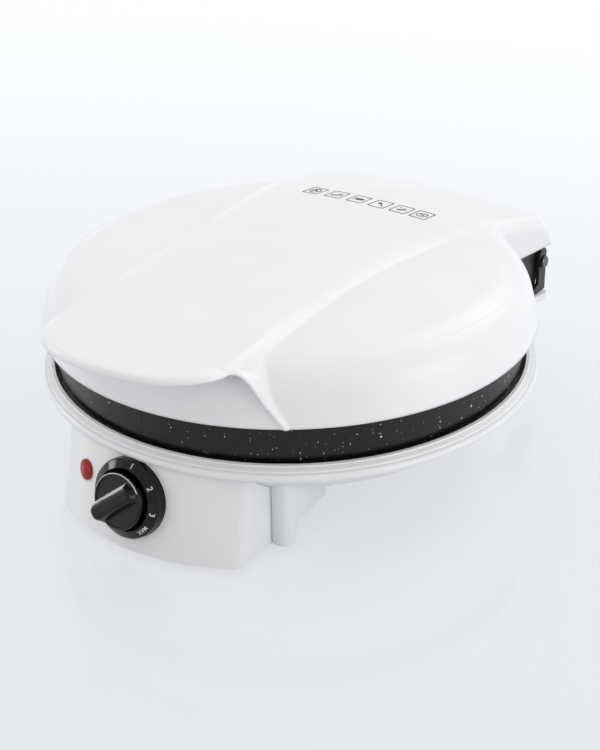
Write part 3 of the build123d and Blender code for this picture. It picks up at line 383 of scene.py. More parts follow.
def under_arch(rows, x, y, z):
    """Space under a crowned top and the slopes beside it, and the half-width to the slopes' ends."""
    half, ridge, slope, drop, crown = [through(rows[:, 0], rows[:, k], y) for k in range(1, 6)]
    fall = drop / slope
    top = ridge + crown * (1 - (x / half) ** 2)
    side = ridge - fall * (np.abs(x) - half)
    return both(z - top, (z - side) / np.sqrt(1 + fall ** 2), RIDGE_EDGE), half + slope


def panel_field(x, y, z):
    """Raised panel and hood."""
    over, half = under_arch(panel_rows, x, y, z)
    over = both(over, y - HOOD_REAR, HOOD_ROLL)
    over = both(over, np.abs(x) - half, PANEL_SIDE_EDGE)
    return np.maximum(over, PANEL_FRONT - y)


def grip_field(x, y, z):
    """Thin rounded visor in front of the dome, arched from side to side."""
    over, _ = under_arch(grip_rows, x, y, z)
    n = GRIP_SQUARENESS
    u, v = np.abs(x) / GRIP_HALF, np.abs(y - GRIP_MIDDLE) / GRIP_REACH
    reach = (u ** n + v ** n) ** (1 / n) + TINY
    steep = np.hypot((u / reach) ** (n - 1) / GRIP_HALF, (v / reach) ** (n - 1) / GRIP_REACH) + TINY
    outline = np.maximum((reach - 1) / steep, y - (PANEL_FRONT + GRIP_OVERLAP))
    under = GRIP_UNDER - GRIP_UNDER_ARCH * u * u - z
    return both(both(over, outline, GRIP_TOP_EDGE), under, GRIP_LOW_EDGE)


def finer(line, parts=2):
    """The same bent line with more points, on a smooth curve through the given ones."""
    at = np.arange(len(line), dtype=float)
    between = np.linspace(0.0, len(line) - 1.0, parts * (len(line) - 1) + 1)
    return np.stack([through(at, line[:, k], between) for k in range(3)], axis=1)


# The webs beside the finger space: their free edge and their seam on the dome
web_edge = finer(np.array([
    (72.6, -108.0, 91.4), (73.8, -131.0, 91.0), (74.8, -150.0, 90.4), (75.4, -168.0, 89.4),
    (74.6, -187.0, 87.6), (78.8, -183.0, 84.4), (84.8, -179.4, 80.4), (91.7, -175.7, 70.6),
    (96.1, -173.4, 61.5), (103.4, -169.4, 50.5), (110.6, -164.9, 39.0),
]))
web_seam = finer(np.array([
    (74.6, -108.0, 90.4), (77.6, -131.0, 88.6), (80.0, -146.0, 85.8), (84.0, -155.5, 81.0),
    (87.0, -159.5, 78.0), (89.5, -161.8, 74.5), (92.0, -163.0, 71.0), (95.0, -164.5, 64.1),
    (98.5, -164.5, 58.0), (104.0, -164.5, 49.5), (110.0, -163.0, 39.0),
]))
WEB_HALF_THICKNESS = 1.2
# The webs show only inside this box, so their distance is worked out only there
WEB_BOX_LOW = (55.0, -195.0)
WEB_BOX_HIGH = (125.0, -135.0, 100.0)
WEB_FAR = 30.0


def triangle_distance(p, a, b, c):
    """Distance from points to a triangle."""
    ba, cb, ac = b - a, c - b, a - c
    normal = np.cross(ba, ac)
    within = (
        (np.sign((p - a) @ np.cross(ba, normal)) + np.sign((p - b) @ np.cross(cb, normal))
         + np.sign((p - c) @ np.cross(ac, normal))) < 2
    )
    nearest = np.full(len(p), np.inf)
    for start, side in ((a, ba), (b, cb), (c, ac)):
        t = np.clip((p - start) @ side / (side @ side), 0, 1)[:, None]
        nearest = np.minimum(nearest, np.linalg.norm(p - start - t * side, axis=1))
    flat = np.abs((p - a) @ normal) / np.linalg.norm(normal)
    return np.where(within, nearest, flat)


def web_field(x, y, z):
    """Both webs, as thin bent sheets with rounded edges."""
    away = np.full(x.shape, WEB_FAR)
    side = np.abs(x)
    close = (side > WEB_BOX_LOW[0]) & (side < WEB_BOX_HIGH[0]) & (z < WEB_BOX_HIGH[2])
    close &= (y > WEB_BOX_LOW[1]) & (y < WEB_BOX_HIGH[1])
    if not close.any():
        return away
    p = np.stack([side[close], y[close], z[close]], axis=-1)
    least = np.full(len(p), np.inf)
    for k in range(len(web_edge) - 1):
        a, b, c, d = web_edge[k], web_edge[k + 1], web_seam[k + 1], web_seam[k]
        least = np.minimum(least, triangle_distance(p, a, b, c))
        least = np.minimum(least, triangle_distance(p, a, c, d))
    away[close] = least - WEB_HALF_THICKNESS
    return away


# Crease on the dome's shoulder, beside the panel: angle from the side towards the rear, and radius
crease_line = np.array([
    (-62.0, 167.5), (-55.5, 167.5), (-46.2, 171.0), (-35.0, 176.5), (-28.5, 177.0),
    (-17.4, 177.6), (-4.2, 179.0), (13.0, 181.7), (30.0, 183.5),
])
CREASE_DEPTH = 1.1
CREASE_LIP = 2.5
CREASE_FADE = 26.0
# It grows from the first angle and is gone at the last, over these many degrees
CREASE_FIRST = -62.0
CREASE_GROWS = 45.0
CREASE_LAST = 24.0
CREASE_ENDS = 10.0

# The dome sinks this deep under the panel, over these lengths inside the panel's sides and that radius
SINK_DEPTH = 6.0
SINK_RUN = 16.0
SINK_RADIUS = 160.0
SINK_REAR_RUN = 20.0


def eased(share):
    """A share from 0 to 1 with a soft start and a soft end."""
    return share * share * (3 - 2 * share)


def pillow_dent(x, y):
    """How far the dome's top is pressed in inside the crease."""
    turn = np.degrees(np.arctan2(y, np.abs(x)))
    inside = through(crease_line[:, 0], crease_line[:, 1], turn) - np.hypot(x, y)
    lip = np.clip(inside / CREASE_LIP, 0.0, 1.0)
    fade = np.clip(1.0 - inside / CREASE_FADE, 0.0, 1.0)
    grown = np.clip((turn - CREASE_FIRST) / CREASE_GROWS, 0.0, 1.0)
    left = np.clip((CREASE_LAST - turn) / CREASE_ENDS, 0.0, 1.0)
    return CREASE_DEPTH * grown * left * eased(lip) * fade * fade


def sink_under_panel(x, y):
    """Keeps the dome clear below the panel's top, so that only the panel shows there."""
    half = through(panel_rows[:, 0], panel_rows[:, 1], y)
    inside = np.clip((half - np.abs(x)) / SINK_RUN, 0.0, 1.0)
    behind_wall = np.maximum((SINK_RADIUS - np.hypot(x, y)) / SINK_RUN, y / SINK_REAR_RUN)
    return SINK_DEPTH * eased(inside) * np.clip(behind_wall, 0.0, 1.0)


def lid_field(x, y, z):
    """The whole outer form of the lid."""
    raised = np.minimum(panel_field(x, y, z), grip_field(x, y, z))
    above = np.maximum((z - WIDER_ABOVE_Z) / WIDER_RUN_Z, (y - WIDER_BEHIND_Y) / WIDER_RUN_Y)
    dome = dome_field(x, y, z) + pillow_dent(x, y) + sink_under_panel(x, y)
    body = either(dome, raised, SEAM_FILLET + SEAM_FILLET_WIDER * np.clip(above, 0.0, 1.0))
    return either(body, web_field(x, y, z), WEB_FILLET)


def lid_inside_field(x, y, z):
    """The hollow inside the lid."""
    return either(dome_field(x, y, z), panel_field(x, y, z), INNER_FILLET) + LID_WALL


def skin(field, low, high, pitch):
    """Vertices and quads where a field changes sign, one vertex in each crossed cell."""
    counts = [int(math.ceil((h - l) / pitch)) + 1 for l, h in zip(low, high)]
    lines = [l + pitch * np.arange(n) for l, n in zip(low, counts)]
    grid = field(*np.meshgrid(*lines, indexing="ij"))
    cells = tuple(n - 1 for n in counts)
    hits = np.zeros(cells)
    total = np.zeros(cells + (3,))
    crossings = []
    for axis in range(3):
        first = [slice(None)] * 3
        second = [slice(None)] * 3
        first[axis], second[axis] = slice(0, -1), slice(1, None)
        a, b = grid[tuple(first)], grid[tuple(second)]
        crossed = (a < 0) != (b < 0)
        share = np.where(crossed, a / np.where(crossed, a - b, 1.0), 0.0)
        crossings.append((crossed, a < 0))
        one, two = [k for k in range(3) if k != axis]
        for i in (0, 1):
            for j in (0, 1):
                part = [slice(None)] * 3
                part[one] = slice(i, i + cells[one])
                part[two] = slice(j, j + cells[two])
                found = crossed[tuple(part)]
                hits += found
                total[..., axis] += share[tuple(part)]
                total[..., one] += i * found
                total[..., two] += j * found
    used = hits > 0
    numbers = np.full(cells, -1)
    numbers[used] = np.arange(used.sum())
    corner = np.argwhere(used)
    points = (corner + total[used] / hits[used][:, None]) * pitch + np.array(low)
    quads = []
    for axis in range(3):
        crossed, inward = crossings[axis]
        one, two = (axis + 1) % 3, (axis + 2) % 3
        at = np.argwhere(crossed)
        fits = (at[:, one] > 0) & (at[:, two] > 0) & (at[:, one] < cells[one]) & (at[:, two] < cells[two])
        at = at[fits]
        ring = []
        for i, j in ((-1, -1), (0, -1), (0, 0), (-1, 0)):
            cell = at.copy()
            cell[:, one] += i
            cell[:, two] += j
            ring.append(numbers[tuple(cell.T)])
        ring = np.stack(ring, axis=1)
        outward = inward[tuple(at.T)]
        quads.append(np.where(outward[:, None], ring, ring[:, ::-1]))
    return points, np.concatenate(quads)


def slope_of(field, p, step=0.05):
    """Gradient of a field at points."""
    result = np.empty_like(p)
    for k in range(3):
        ahead, behind = p.copy(), p.copy()
        ahead[:, k] += step
        behind[:, k] -= step
        result[:, k] = (field(*ahead.T) - field(*behind.T)) / (2 * step)
    return result


# How far each round of evening out takes a vertex to the middle of its neighbours
EVENED = 0.6
# The last rounds only bring the vertices onto the surface
LAST_ROUNDS = 2


def settle(field, points, quads, floor_z, rounds, pitch):
    """Evens out the mesh and brings every vertex onto the surface, with its open edge at one height."""
    pairs = np.sort(np.concatenate([quads[:, [k, (k + 1) % 4]] for k in range(4)]), axis=1)
    edges, uses = np.unique(pairs, axis=0, return_counts=True)
    rim = np.zeros(len(points), bool)
    rim[edges[uses == 1].ravel()] = True
    ends = np.concatenate([edges, edges[:, ::-1]])
    valence = np.bincount(ends[:, 0], minlength=len(points))
    points[rim, 2] = floor_z
    for turn in range(rounds):
        if turn < rounds - LAST_ROUNDS:
            totals = [np.bincount(ends[:, 0], points[ends[:, 1], k], len(points)) for k in range(3)]
            middle = np.stack([total / valence for total in totals], axis=1)
            points[~rim] = (1 - EVENED) * points[~rim] + EVENED * middle[~rim]
        lean = slope_of(field, points)
        lean[rim, 2] = 0.0
        size = (lean ** 2).sum(axis=1) + TINY
        move = -(field(*points.T) / size)[:, None] * lean
        length = np.linalg.norm(move, axis=1, keepdims=True) + TINY
        points += move * np.minimum(1.0, pitch / length)
    return points


def top_of(field, x, y, start, share, rounds):
    """Height of a form at places, found from above it: each round goes down by a share of the field."""
    z = np.full(len(x), start)
    for _ in range(rounds):
        z -= share * field(x, y, z)
    return z


def new_piece(name, points, faces, material, body):
    """A piece from points in metres that rides on a body."""
    mesh = bpy.data.meshes.new(name)
    mesh.from_pydata([tuple(map(float, p)) for p in points], [], [list(map(int, f)) for f in faces])
    mesh.materials.append(material)
    piece = bpy.data.objects.new(name, mesh)
    bpy.context.scene.collection.objects.link(piece)
    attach(piece, body)
    return piece


# Width of the cells that the lid's two skins are made from, their box, and the rounds of settling
OUTER_PITCH = 1.5
INNER_PITCH = 6.0
LID_LOW = (-204.0, -252.0, LID_EDGE_Z)
LID_HIGH = (204.0, 246.0, 106.0)
OUTER_ROUNDS = 8
INNER_ROUNDS = 6


def make_lid():
    """The lid's outer skin, its inner skin and the edge between them."""
    outer, outer_quads = skin(lid_field, LID_LOW, LID_HIGH, OUTER_PITCH)
    outer = settle(lid_field, outer, outer_quads, LID_EDGE_Z, OUTER_ROUNDS, OUTER_PITCH)
    inner, inner_quads = skin(lid_inside_field, LID_LOW, LID_HIGH, INNER_PITCH)
    inner = settle(lid_inside_field, inner, inner_quads, LID_EDGE_Z, INNER_ROUNDS, INNER_PITCH)
    faces = np.concatenate([outer_quads, inner_quads[:, ::-1] + len(outer)])
    points = placed(np.concatenate([outer, inner]))
    piece = new_piece("lid_skin", points, faces, white_abs, "lid")
    sheet = bmesh.new()
    sheet.from_mesh(piece.data)
    open_edges = [e for e in sheet.edges if e.is_boundary]
    bmesh.ops.bridge_loops(sheet, edges=open_edges)
    sheet.to_mesh(piece.data)
    sheet.free()
    piece.data.shade_smooth()
    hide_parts("lid_shell")


make_lid()


# The knob, in the frame of the dial's seat, z outwards

# The round part: its lower face, radius, upper face and edge, the dish in that face with the land round
# it, and their rounded edges
KNOB_LOW = 2.3
KNOB_RADIUS = 21.5
KNOB_FACE = 19.6
KNOB_EDGE = 1.3
KNOB_DISH = 0.8
KNOB_LAND = 2.2
DISH_EDGE = 0.5
LAND_EDGE = 0.35

# The bar grip: its top, how far its pointing end and its tail reach, half its width at the face, how
# much the flanks and ends lean in, its corners as a share of that width, and its turn
BAR_TOP = 25.6
BAR_TIP = 24.5
BAR_TAIL = 20.0
BAR_BASE_HALF = 7.9
BAR_FLANK = 3.3
BAR_END_LEAN = 0.6
BAR_CORNER = 0.8
BAR_TURN = math.radians(40.0)
# The flanks lean between these shares of the bar's height, and the distance from them is this share
# of the distance in plan
BAR_LEAN_FROM = -0.4
BAR_LEAN_TO = 1.2
BAR_SLOPE = 0.88
BAR_EDGE = 1.7
BAR_FILLET = 0.7
# Its foot ends inside the round part
BAR_FOOT = 3.0
BAR_FOOT_EDGE = 0.8

# Radius and depth of the bore for the spindle
SHAFT_CLEAR = 3.15
SHAFT_DEPTH = 11.0


def knob_bar_place(x, y):
    """Places along and across the bar grip."""
    along = x * math.cos(BAR_TURN) + y * math.sin(BAR_TURN) + (BAR_TIP - BAR_TAIL) / 2
    across = -x * math.sin(BAR_TURN) + y * math.cos(BAR_TURN)
    return along, across


def knob_field(x, y, z):
    """Round knob with a dished face and a tapered bar grip with rounded edges."""
    r = np.hypot(x, y)
    disc = both(r - KNOB_RADIUS, z - KNOB_FACE, KNOB_EDGE)
    dish = both(r - (KNOB_RADIUS - KNOB_LAND), KNOB_FACE - KNOB_DISH - z, DISH_EDGE)
    disc = both(disc, -dish, LAND_EDGE)
    along, across = knob_bar_place(x, y)
    rise = np.clip((z - KNOB_FACE) / (BAR_TOP - KNOB_FACE), BAR_LEAN_FROM, BAR_LEAN_TO)
    half_across = BAR_BASE_HALF - BAR_FLANK * rise
    half_along = (BAR_TIP + BAR_TAIL) / 2 - BAR_END_LEAN * BAR_FLANK * rise
    corner = BAR_CORNER * half_across
    out_x = np.abs(along) - half_along + corner
    out_y = np.abs(across) - half_across + corner
    plan = np.hypot(np.maximum(out_x, 0), np.maximum(out_y, 0))
    plan = plan + np.minimum(np.maximum(out_x, out_y), 0) - corner
    bar = both(plan * BAR_SLOPE, z - BAR_TOP, BAR_EDGE)
    bar = both(bar, (KNOB_FACE - BAR_FOOT) - z, BAR_FOOT_EDGE)
    whole = np.maximum(either(disc, bar, BAR_FILLET), KNOB_LOW - z)
    return np.maximum(whole, -np.maximum(r - SHAFT_CLEAR, z - SHAFT_DEPTH))


def dial_matrix():
    """Frame of the dial's seat, x to the right and z out of the machine."""
    turn = next(j for j in frame["record"]["behaviour"]["joints"] if j["name"] == "knob_turn")
    outward = -Vector(turn["axis"])
    right = Vector((1.0, 0.0, 0.0))
    right = (right - outward * right.dot(outward)).normalized()
    matrix = Matrix((right, outward.cross(right), outward)).transposed().to_4x4()
    matrix.translation = Vector(turn["pos_m"])
    return matrix


def on_dial(points):
    """Points of the dial's frame in millimetres, in the shared frame and in metres."""
    seat = dial_matrix()
    return [seat @ Vector(p) for p in np.asarray(points) * MM]


# Width of the cells that the knob is made from, their box, and the rounds of settling
KNOB_PITCH = 0.6
KNOB_MARGIN = 1.5
KNOB_REACH = 26.0
KNOB_ROUNDS = 5


def make_knob():
    """The knob with its rounded edges."""
    low = (-KNOB_REACH, -KNOB_REACH, KNOB_LOW - KNOB_MARGIN)
    high = (KNOB_REACH, KNOB_REACH, BAR_TOP + KNOB_MARGIN)
    points, quads = skin(knob_field, low, high, KNOB_PITCH)
    points = settle(knob_field, points, quads, 0.0, KNOB_ROUNDS, KNOB_PITCH)
    knob = new_piece("control_knob", on_dial(points), quads, black_abs, "knob")
    knob.data.shade_smooth()
    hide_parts("knob")


# The painted highlight on the bar's upper flank, a pale strip where the flank would catch the light: its ends
# from the bar's, its foot beside the bar, its width, how that grows from the pointing end until it is full,
# and its height above the plastic
LINE_TIP_GAP = 4.6
LINE_TAIL_GAP = 5.4
LINE_FOOT = 0.3
LINE_WIDTH = 2.7
LINE_TAPER = (0.6, 1.2)
LINE_STEPS = 24
LINE_ROWS = 5
LINE_LIFT = 0.05
LINE_START_Z = BAR_TOP + 1.0

# The painted highlight along the knob's rounded edge, a pale strip: its radii from the knob's, its ends in
# degrees, and its height
EDGE_LINE_RADII = (-0.75, -0.3, 0.02)
EDGE_LINE_TURN = (33.0, 178.0)
EDGE_LINE_STEPS = 40
EDGE_LINE_LIFT = 0.04
EDGE_LINE_START_Z = KNOB_FACE + 0.5


def above_knob(x, y, start, lift):
    """Points that far above the knob's surface, found from a height outside it."""
    z = top_of(knob_field, x, y, start, share=0.5, rounds=30)
    return np.stack([x, y, z + lift], axis=1)


def strip_faces(rows, steps, first):
    """Quads between neighbouring rows of points, where first is the number of the first point."""
    starts = [first + row * steps for row in range(rows - 1)]
    return [(a, a + 1, a + steps + 1, a + steps) for start in starts for a in range(start, start + steps - 1)]


def make_painted_highlights():
    """Painted highlights, as thin pale strips on the bar's upper flank and along the knob's edge, as one
    piece.
    """
    along = np.linspace(-BAR_TIP + LINE_TIP_GAP, BAR_TAIL - LINE_TAIL_GAP, LINE_STEPS)
    taper = np.clip(np.linspace(*LINE_TAPER, LINE_STEPS), 0, 1)
    rows = []
    for share in np.linspace(0.0, 1.0, LINE_ROWS):
        across = BAR_BASE_HALF + LINE_FOOT - share * LINE_WIDTH * taper
        x = along * math.cos(BAR_TURN) - across * math.sin(BAR_TURN)
        y = along * math.sin(BAR_TURN) + across * math.cos(BAR_TURN)
        rows.append(above_knob(x, y, LINE_START_Z, LINE_LIFT))
    turns = np.radians(np.linspace(*EDGE_LINE_TURN, EDGE_LINE_STEPS))
    for offset in EDGE_LINE_RADII:
        x, y = (KNOB_RADIUS + offset) * np.cos(turns), (KNOB_RADIUS + offset) * np.sin(turns)
        rows.append(above_knob(x, y, EDGE_LINE_START_Z, EDGE_LINE_LIFT))
    faces = strip_faces(LINE_ROWS, LINE_STEPS, 0)
    faces += strip_faces(len(EDGE_LINE_RADII), EDGE_LINE_STEPS, LINE_ROWS * LINE_STEPS)
    points = on_dial(np.concatenate(rows))
    lines = new_piece("knob_painted_highlights", points, faces, highlight_film, "knob")
    lines.data.shade_smooth()


# Pale film that paints the highlights on the knob's flank and edge
highlight_film = print_and_highlight_film("knob_painted_highlight", "#DFE1E3", "#C6C9CC")
make_knob()
# The knob's painted highlights
make_painted_highlights()


# Print on the dial and on the lid

# The cone of the dial's ring: outer radius and height above the seat, then inner
CONE_OUTER = (29.3, 9.6)
CONE_INNER = (23.8, 13.1)
NUMERAL_RADIUS = 26.9
PRINT_LIFT = 0.04
LETTER_BOLDNESS = 0.016
# Heat settings: piece, text, angle about the dial in degrees, and size of the letters
HEAT_SETTINGS = (
    ("one", "1", 81.0, 6.0), ("two", "2", 33.5, 6.0), ("three", "3", -8.5, 6.0), ("max", "MAX", -43.0, 4.68),
)
pale_print = print_and_highlight_film("pale_print", "#DCDDDE", "#C8C9CB")
grey_print = print_and_highlight_film("grey_print", "#08090A", "#101113")


def letter_points(text, size):
    """Flat points and faces of a text, centred, in millimetres."""
    curve = bpy.data.curves.new("lettering", "FONT")
    curve.body = text
    curve.size = size
    curve.offset = LETTER_BOLDNESS * size
    curve.align_x, curve.align_y = "CENTER", "CENTER"
    holder = bpy.data.objects.new("lettering", curve)
    bpy.context.scene.collection.objects.link(holder)
    mesh = bpy.data.meshes.new_from_object(holder)
    sheet = bmesh.new()
    sheet.from_mesh(mesh)
    bmesh.ops.triangulate(sheet, faces=sheet.faces[:])
    sheet.verts.index_update()
    points = np.array([v.co[:] for v in sheet.verts])
    faces = [[v.index for v in f.verts] for f in sheet.faces]
    sheet.free()
    bpy.data.objects.remove(holder)
    return points, faces


def make_numerals():
    """Heat settings on the ring's cone, each with its top outwards."""
    run, rise = CONE_OUTER[0] - CONE_INNER[0], CONE_INNER[1] - CONE_OUTER[1]
    lean = math.atan2(rise, run)
    for name, text, angle, size in HEAT_SETTINGS:
        flat, faces = letter_points(text, size)
        around = math.radians(angle) - flat[:, 0] / NUMERAL_RADIUS
        radius = NUMERAL_RADIUS + flat[:, 1] * math.cos(lean)
        height = CONE_OUTER[1] + (CONE_OUTER[0] - radius) * rise / run + PRINT_LIFT
        on_cone = np.stack([radius * np.cos(around), radius * np.sin(around), height], axis=1)
        new_piece(f"dial_print_{name}", on_dial(on_cone), faces, pale_print, "base")


# The row of signs: its place, half their width and their corners, how much longer they are than wide,
# the width of their lines, and their height above the lid
SIGN_ROW_Y = 116.5
SIGN_ROW_X = (-51.5, -29.5, -7.5, 14.0, 34.5, 54.0)
SIGN_HALF = 7.3
SIGN_CORNER = 1.2
SIGN_STRETCH = 1.35
SIGN_LINE = 1.0
SIGN_LIFT = 0.1
SIGN_START_Z = 90.0


def rounded_square(half, corner, steps=5):
    """Closed outline of a square with round corners."""
    points = []
    for quarter in range(4):
        middle = math.radians(45 + 90 * quarter)
        centre_x = math.copysign(half - corner, math.cos(middle))
        centre_y = math.copysign(half - corner, math.sin(middle))
        for k in range(steps):
            turn = math.radians(90 * quarter + 90 * k / (steps - 1))
            points.append((centre_x + corner * math.cos(turn), centre_y + corner * math.sin(turn)))
    return points + points[:1]


def oval(x, y, wide, high, tilt=0.0, steps=20):
    """Closed outline of an oval with its middle, half-axes and tilt in degrees."""
    lean = math.radians(tilt)
    points = []
    for k in range(steps + 1):
        turn = math.radians(360.0 * k / steps)
        across, up = wide * math.cos(turn), high * math.sin(turn)
        points.append((x + across * math.cos(lean) - up * math.sin(lean),
                       y + across * math.sin(lean) + up * math.cos(lean)))
    return points


def food_drawings():
    """Strokes of six plain food signs: points and line width."""
    thin = SIGN_LINE
    dot = dict(steps=8)
    pizza = [
        (oval(0, 0, 4.4, 4.4), thin), ([(0, 0), (0, 4.4)], thin), ([(0, 0), (3.8, -2.2)], thin),
        (oval(-1.8, -1.0, 0.6, 0.6, **dot), thin), (oval(-1.2, 2.0, 0.6, 0.6, **dot), thin),
    ]
    bread = [
        (oval(0, -0.6, 4.6, 2.0, 28), thin), ([(-2.0, -0.6), (-1.4, 0.9)], thin),
        ([(-0.2, 0.2), (0.4, 1.7)], thin), ([(1.6, 1.0), (2.1, 2.4)], thin),
    ]
    fish = [
        (oval(0.6, 0, 3.6, 1.1), 2.0), ([(-2.6, 0), (-4.8, 1.8)], 0.9), ([(-2.6, 0), (-4.8, -1.8)], 0.9),
    ]
    leg = [
        (oval(-1.6, 1.4, 1.4, 0.9, -40), 1.7), ([(-0.4, 0.4), (3.6, -3.4)], 0.8),
        (oval(3.8, -3.6, 0.5, 0.5, **dot), 0.6),
    ]
    sausage = [
        ([(-3.4, -2.6), (1.8, 2.6)], 1.3), ([(-1.2, -3.4), (3.6, 1.4)], 1.3),
        ([(-4.4, 3.2), (-2.6, 3.2)], thin),
    ]
    egg = [
        (oval(0, 0, 4.4, 3.2, 15), thin), (oval(0.4, 0.2, 1.0, 1.0), 0.9),
        (oval(-2.6, 1.2, 0.5, 0.4, **dot), thin),
    ]
    return [pizza, bread, fish, leg, sausage, egg]


def make_signs():
    """Generic food signs in a row on the lid, in dark grey print."""
    frame_line = (rounded_square(SIGN_HALF, SIGN_CORNER), SIGN_LINE)
    for number, (x, drawing) in enumerate(zip(SIGN_ROW_X, food_drawings()), start=1):
        points, faces = [], []
        for line, width in [frame_line] + drawing:
            line = np.array(line, float)
            along = np.gradient(line, axis=0)
            along /= np.linalg.norm(along, axis=1)[:, None] + TINY
            out = np.stack([-along[:, 1], along[:, 0]], axis=1) * width / 2
            first = len(points)
            for a, b in zip(line + out, line - out):
                points += [a, b]
            starts = [first + 2 * k for k in range(len(line) - 1)]
            faces += [[start, start + 1, start + 3, start + 2] for start in starts]
        flat = np.array(points)
        across, back = x + flat[:, 0], SIGN_ROW_Y + SIGN_STRETCH * flat[:, 1]
        up = top_of(lid_field, across, back, SIGN_START_Z, share=0.9, rounds=20) + SIGN_LIFT
        on_lid = placed(np.stack([across, back, up], axis=1))
        new_piece(f"lid_sign_{number}", on_lid, faces, grey_print, "lid")


make_numerals()
make_signs()


# Camera, floor and light

# The photograph's camera: its angles, its focal length and picture height in pixels, and its place
PHOTO_AZIMUTH = math.radians(34.36)
PHOTO_ELEVATION = math.radians(27.74)
PHOTO_ROLL = math.radians(-0.81)
PHOTO_FOCAL_PX = 1516.0
PHOTO_HEIGHT_PX = 750.0
CAMERA_PLACE = (629.886, -908.274, 560.184)


def make_camera():
    """Camera at the photograph's place, angle and focal length."""
    sin_a, cos_a = math.sin(PHOTO_AZIMUTH), math.cos(PHOTO_AZIMUTH)
    sin_e, cos_e = math.sin(PHOTO_ELEVATION), math.cos(PHOTO_ELEVATION)
    look = Vector((-sin_a * cos_e, cos_a * cos_e, -sin_e))
    right = Vector((cos_a, sin_a, 0.0))
    up = right.cross(look)
    turned_right = math.cos(PHOTO_ROLL) * right + math.sin(PHOTO_ROLL) * up
    turned_up = -math.sin(PHOTO_ROLL) * right + math.cos(PHOTO_ROLL) * up
    data = bpy.data.cameras.new("photo_camera")
    data.sensor_fit = "VERTICAL"
    data.sensor_height = 36.0
    data.lens = PHOTO_FOCAL_PX * data.sensor_height / PHOTO_HEIGHT_PX
    data.clip_start = 0.05
    data.clip_end = 50.0
    camera = bpy.data.objects.new("photo_camera", data)
    turn = Matrix((turned_right, turned_up, -look)).transposed().to_4x4()
    turn.translation = Vector(placed(CAMERA_PLACE))
    camera.matrix_world = turn
    bpy.context.scene.collection.objects.link(camera)
    bpy.context.scene.camera = camera


# Half the floor's width in metres, its clouding in millimetres, and its glow to the camera: the tint,
# the near and the far level, and the two places, in metres behind the middle
FLOOR_HALF = 12.0
FLOOR_CLOUD = 900.0
FLOOR_TINT = "#F6F9FF"
FLOOR_NEAR = 0.63
FLOOR_FAR = 0.81
FLOOR_NEAR_Y = -0.75
FLOOR_FAR_Y = 2.2


def seen(tree):
    """1 for rays from the camera, reflections and glass, and 0 for light that falls on the object."""
    path = add(tree, "ShaderNodeLightPath").outputs
    direct = add(tree, "ShaderNodeMath", {
        0: path["Is Camera Ray"], 1: path["Is Glossy Ray"],
    }, operation="MAXIMUM")
    return add(tree, "ShaderNodeMath", {0: direct, 1: path["Is Transmission Ray"]}, operation="MAXIMUM")


def make_floor():
    """A plain pale table: lighter at the back, with a faint gloss and the object's soft shadow."""
    mesh = bpy.data.meshes.new("floor")
    corners = [(x * FLOOR_HALF, y * FLOOR_HALF, 0) for x, y in ((-1, -1), (1, -1), (1, 1), (-1, 1))]
    mesh.from_pydata(corners, [], [(0, 1, 2, 3)])
    floor = bpy.data.objects.new("floor", mesh)
    bpy.context.scene.collection.objects.link(floor)
    material, tree, shader, where = new_finish("pale_table", {
        "Roughness": 0.09, "IOR": 1.3, "Emission Color": FLOOR_TINT,
    })
    cloud = add(tree, "ShaderNodeTexNoise", {
        "Vector": where, "Scale": 1.0 / (FLOOR_CLOUD * MM), "Detail": 2.0,
    })
    # Darker to the camera, because the glow there already gives most of what it sees
    lit = add(tree, "ShaderNodeMix", {"Factor": cloud, "A": "#DFE0E1", "B": "#E3E4E5"}, data_type="RGBA")
    shown = add(tree, "ShaderNodeMix", {"Factor": cloud, "A": "#707172", "B": "#727374"}, data_type="RGBA")
    add(tree, "ShaderNodeMix", {"Factor": seen(tree), "A": lit, "B": shown},
        feeds=shader.inputs["Base Color"], data_type="RGBA")
    depth = add(tree, "ShaderNodeSeparateXYZ", {"Vector": where}).outputs["Y"]
    glow = add(tree, "ShaderNodeMapRange", {
        "Value": depth, "From Min": FLOOR_NEAR_Y, "From Max": FLOOR_FAR_Y,
        "To Min": FLOOR_NEAR, "To Max": FLOOR_FAR,
    })
    add(tree, "ShaderNodeMath", {0: seen(tree), 1: glow},
        feeds=shader.inputs["Emission Strength"], operation="MULTIPLY")
    mesh.materials.append(material)


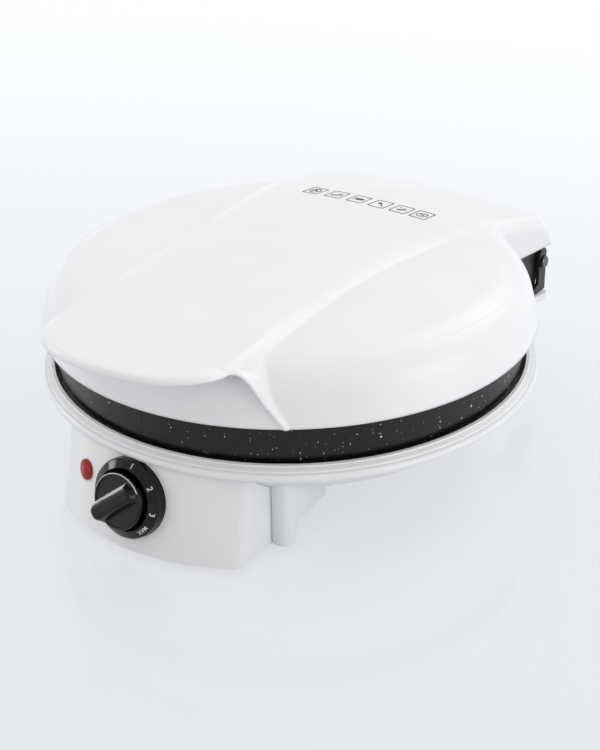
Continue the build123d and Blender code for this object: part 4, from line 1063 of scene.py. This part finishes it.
# The sky's light rises from the first level to the last between these heights of a ray
SKY_TINT = "#FFFDF9"
SKY_LOW_Z = -0.1
SKY_HIGH_Z = 0.5
SKY_LOW = 0.56
SKY_HIGH = 0.80
# The backdrop is what the camera, reflections and glass show instead
BACKDROP_TINT = "#F8FAFE"
BACKDROP_LEVEL = 0.92
# Soft lamps: name, place in metres, diameter and power, all aimed at the middle of the machine
LAMPS = (
    ("key", (-0.9, -0.4, 1.9), 1.8, 5.2),
    ("rear", (0.6, 1.5, 1.6), 1.6, 9.0),
    ("side", (1.9, 0.1, 0.4), 1.4, 12.0),
    ("left", (-2.2, -0.65, 0.75), 0.6, 7.0),
    ("front", (-1.3, -1.7, 0.45), 1.6, 3.4),
)
LAMP_AIM = (0.0, 0.0, 0.08)


def make_light():
    """Even light from the sky all round, with five soft lamps."""
    scene = bpy.context.scene
    world = bpy.data.worlds.new("studio")
    world.use_nodes = True
    tree = world.node_tree
    tree.nodes.clear()
    direction = add(tree, "ShaderNodeTexCoord").outputs["Generated"]
    upward = add(tree, "ShaderNodeSeparateXYZ", {"Vector": direction}).outputs["Z"]
    level = add(tree, "ShaderNodeMapRange", {
        "Value": upward, "From Min": SKY_LOW_Z, "From Max": SKY_HIGH_Z, "To Min": SKY_LOW, "To Max": SKY_HIGH,
    })
    sky = add(tree, "ShaderNodeBackground", {"Color": SKY_TINT, "Strength": level})
    backdrop = add(tree, "ShaderNodeBackground", {"Color": BACKDROP_TINT, "Strength": BACKDROP_LEVEL})
    around = add(tree, "ShaderNodeMixShader", {0: seen(tree), 1: sky, 2: backdrop})
    add(tree, "ShaderNodeOutputWorld", {"Surface": around})
    scene.world = world
    for name, place, size, power in LAMPS:
        data = bpy.data.lights.new(name, "AREA")
        data.shape = "DISK"
        data.size = size
        data.energy = power
        lamp = bpy.data.objects.new(name, data)
        lamp.location = place
        aim = Vector(LAMP_AIM) - Vector(place)
        lamp.rotation_euler = aim.to_track_quat("-Z", "Y").to_euler()
        scene.collection.objects.link(lamp)
    scene.view_settings.view_transform = "Standard"


make_camera()
make_floor()
make_light()
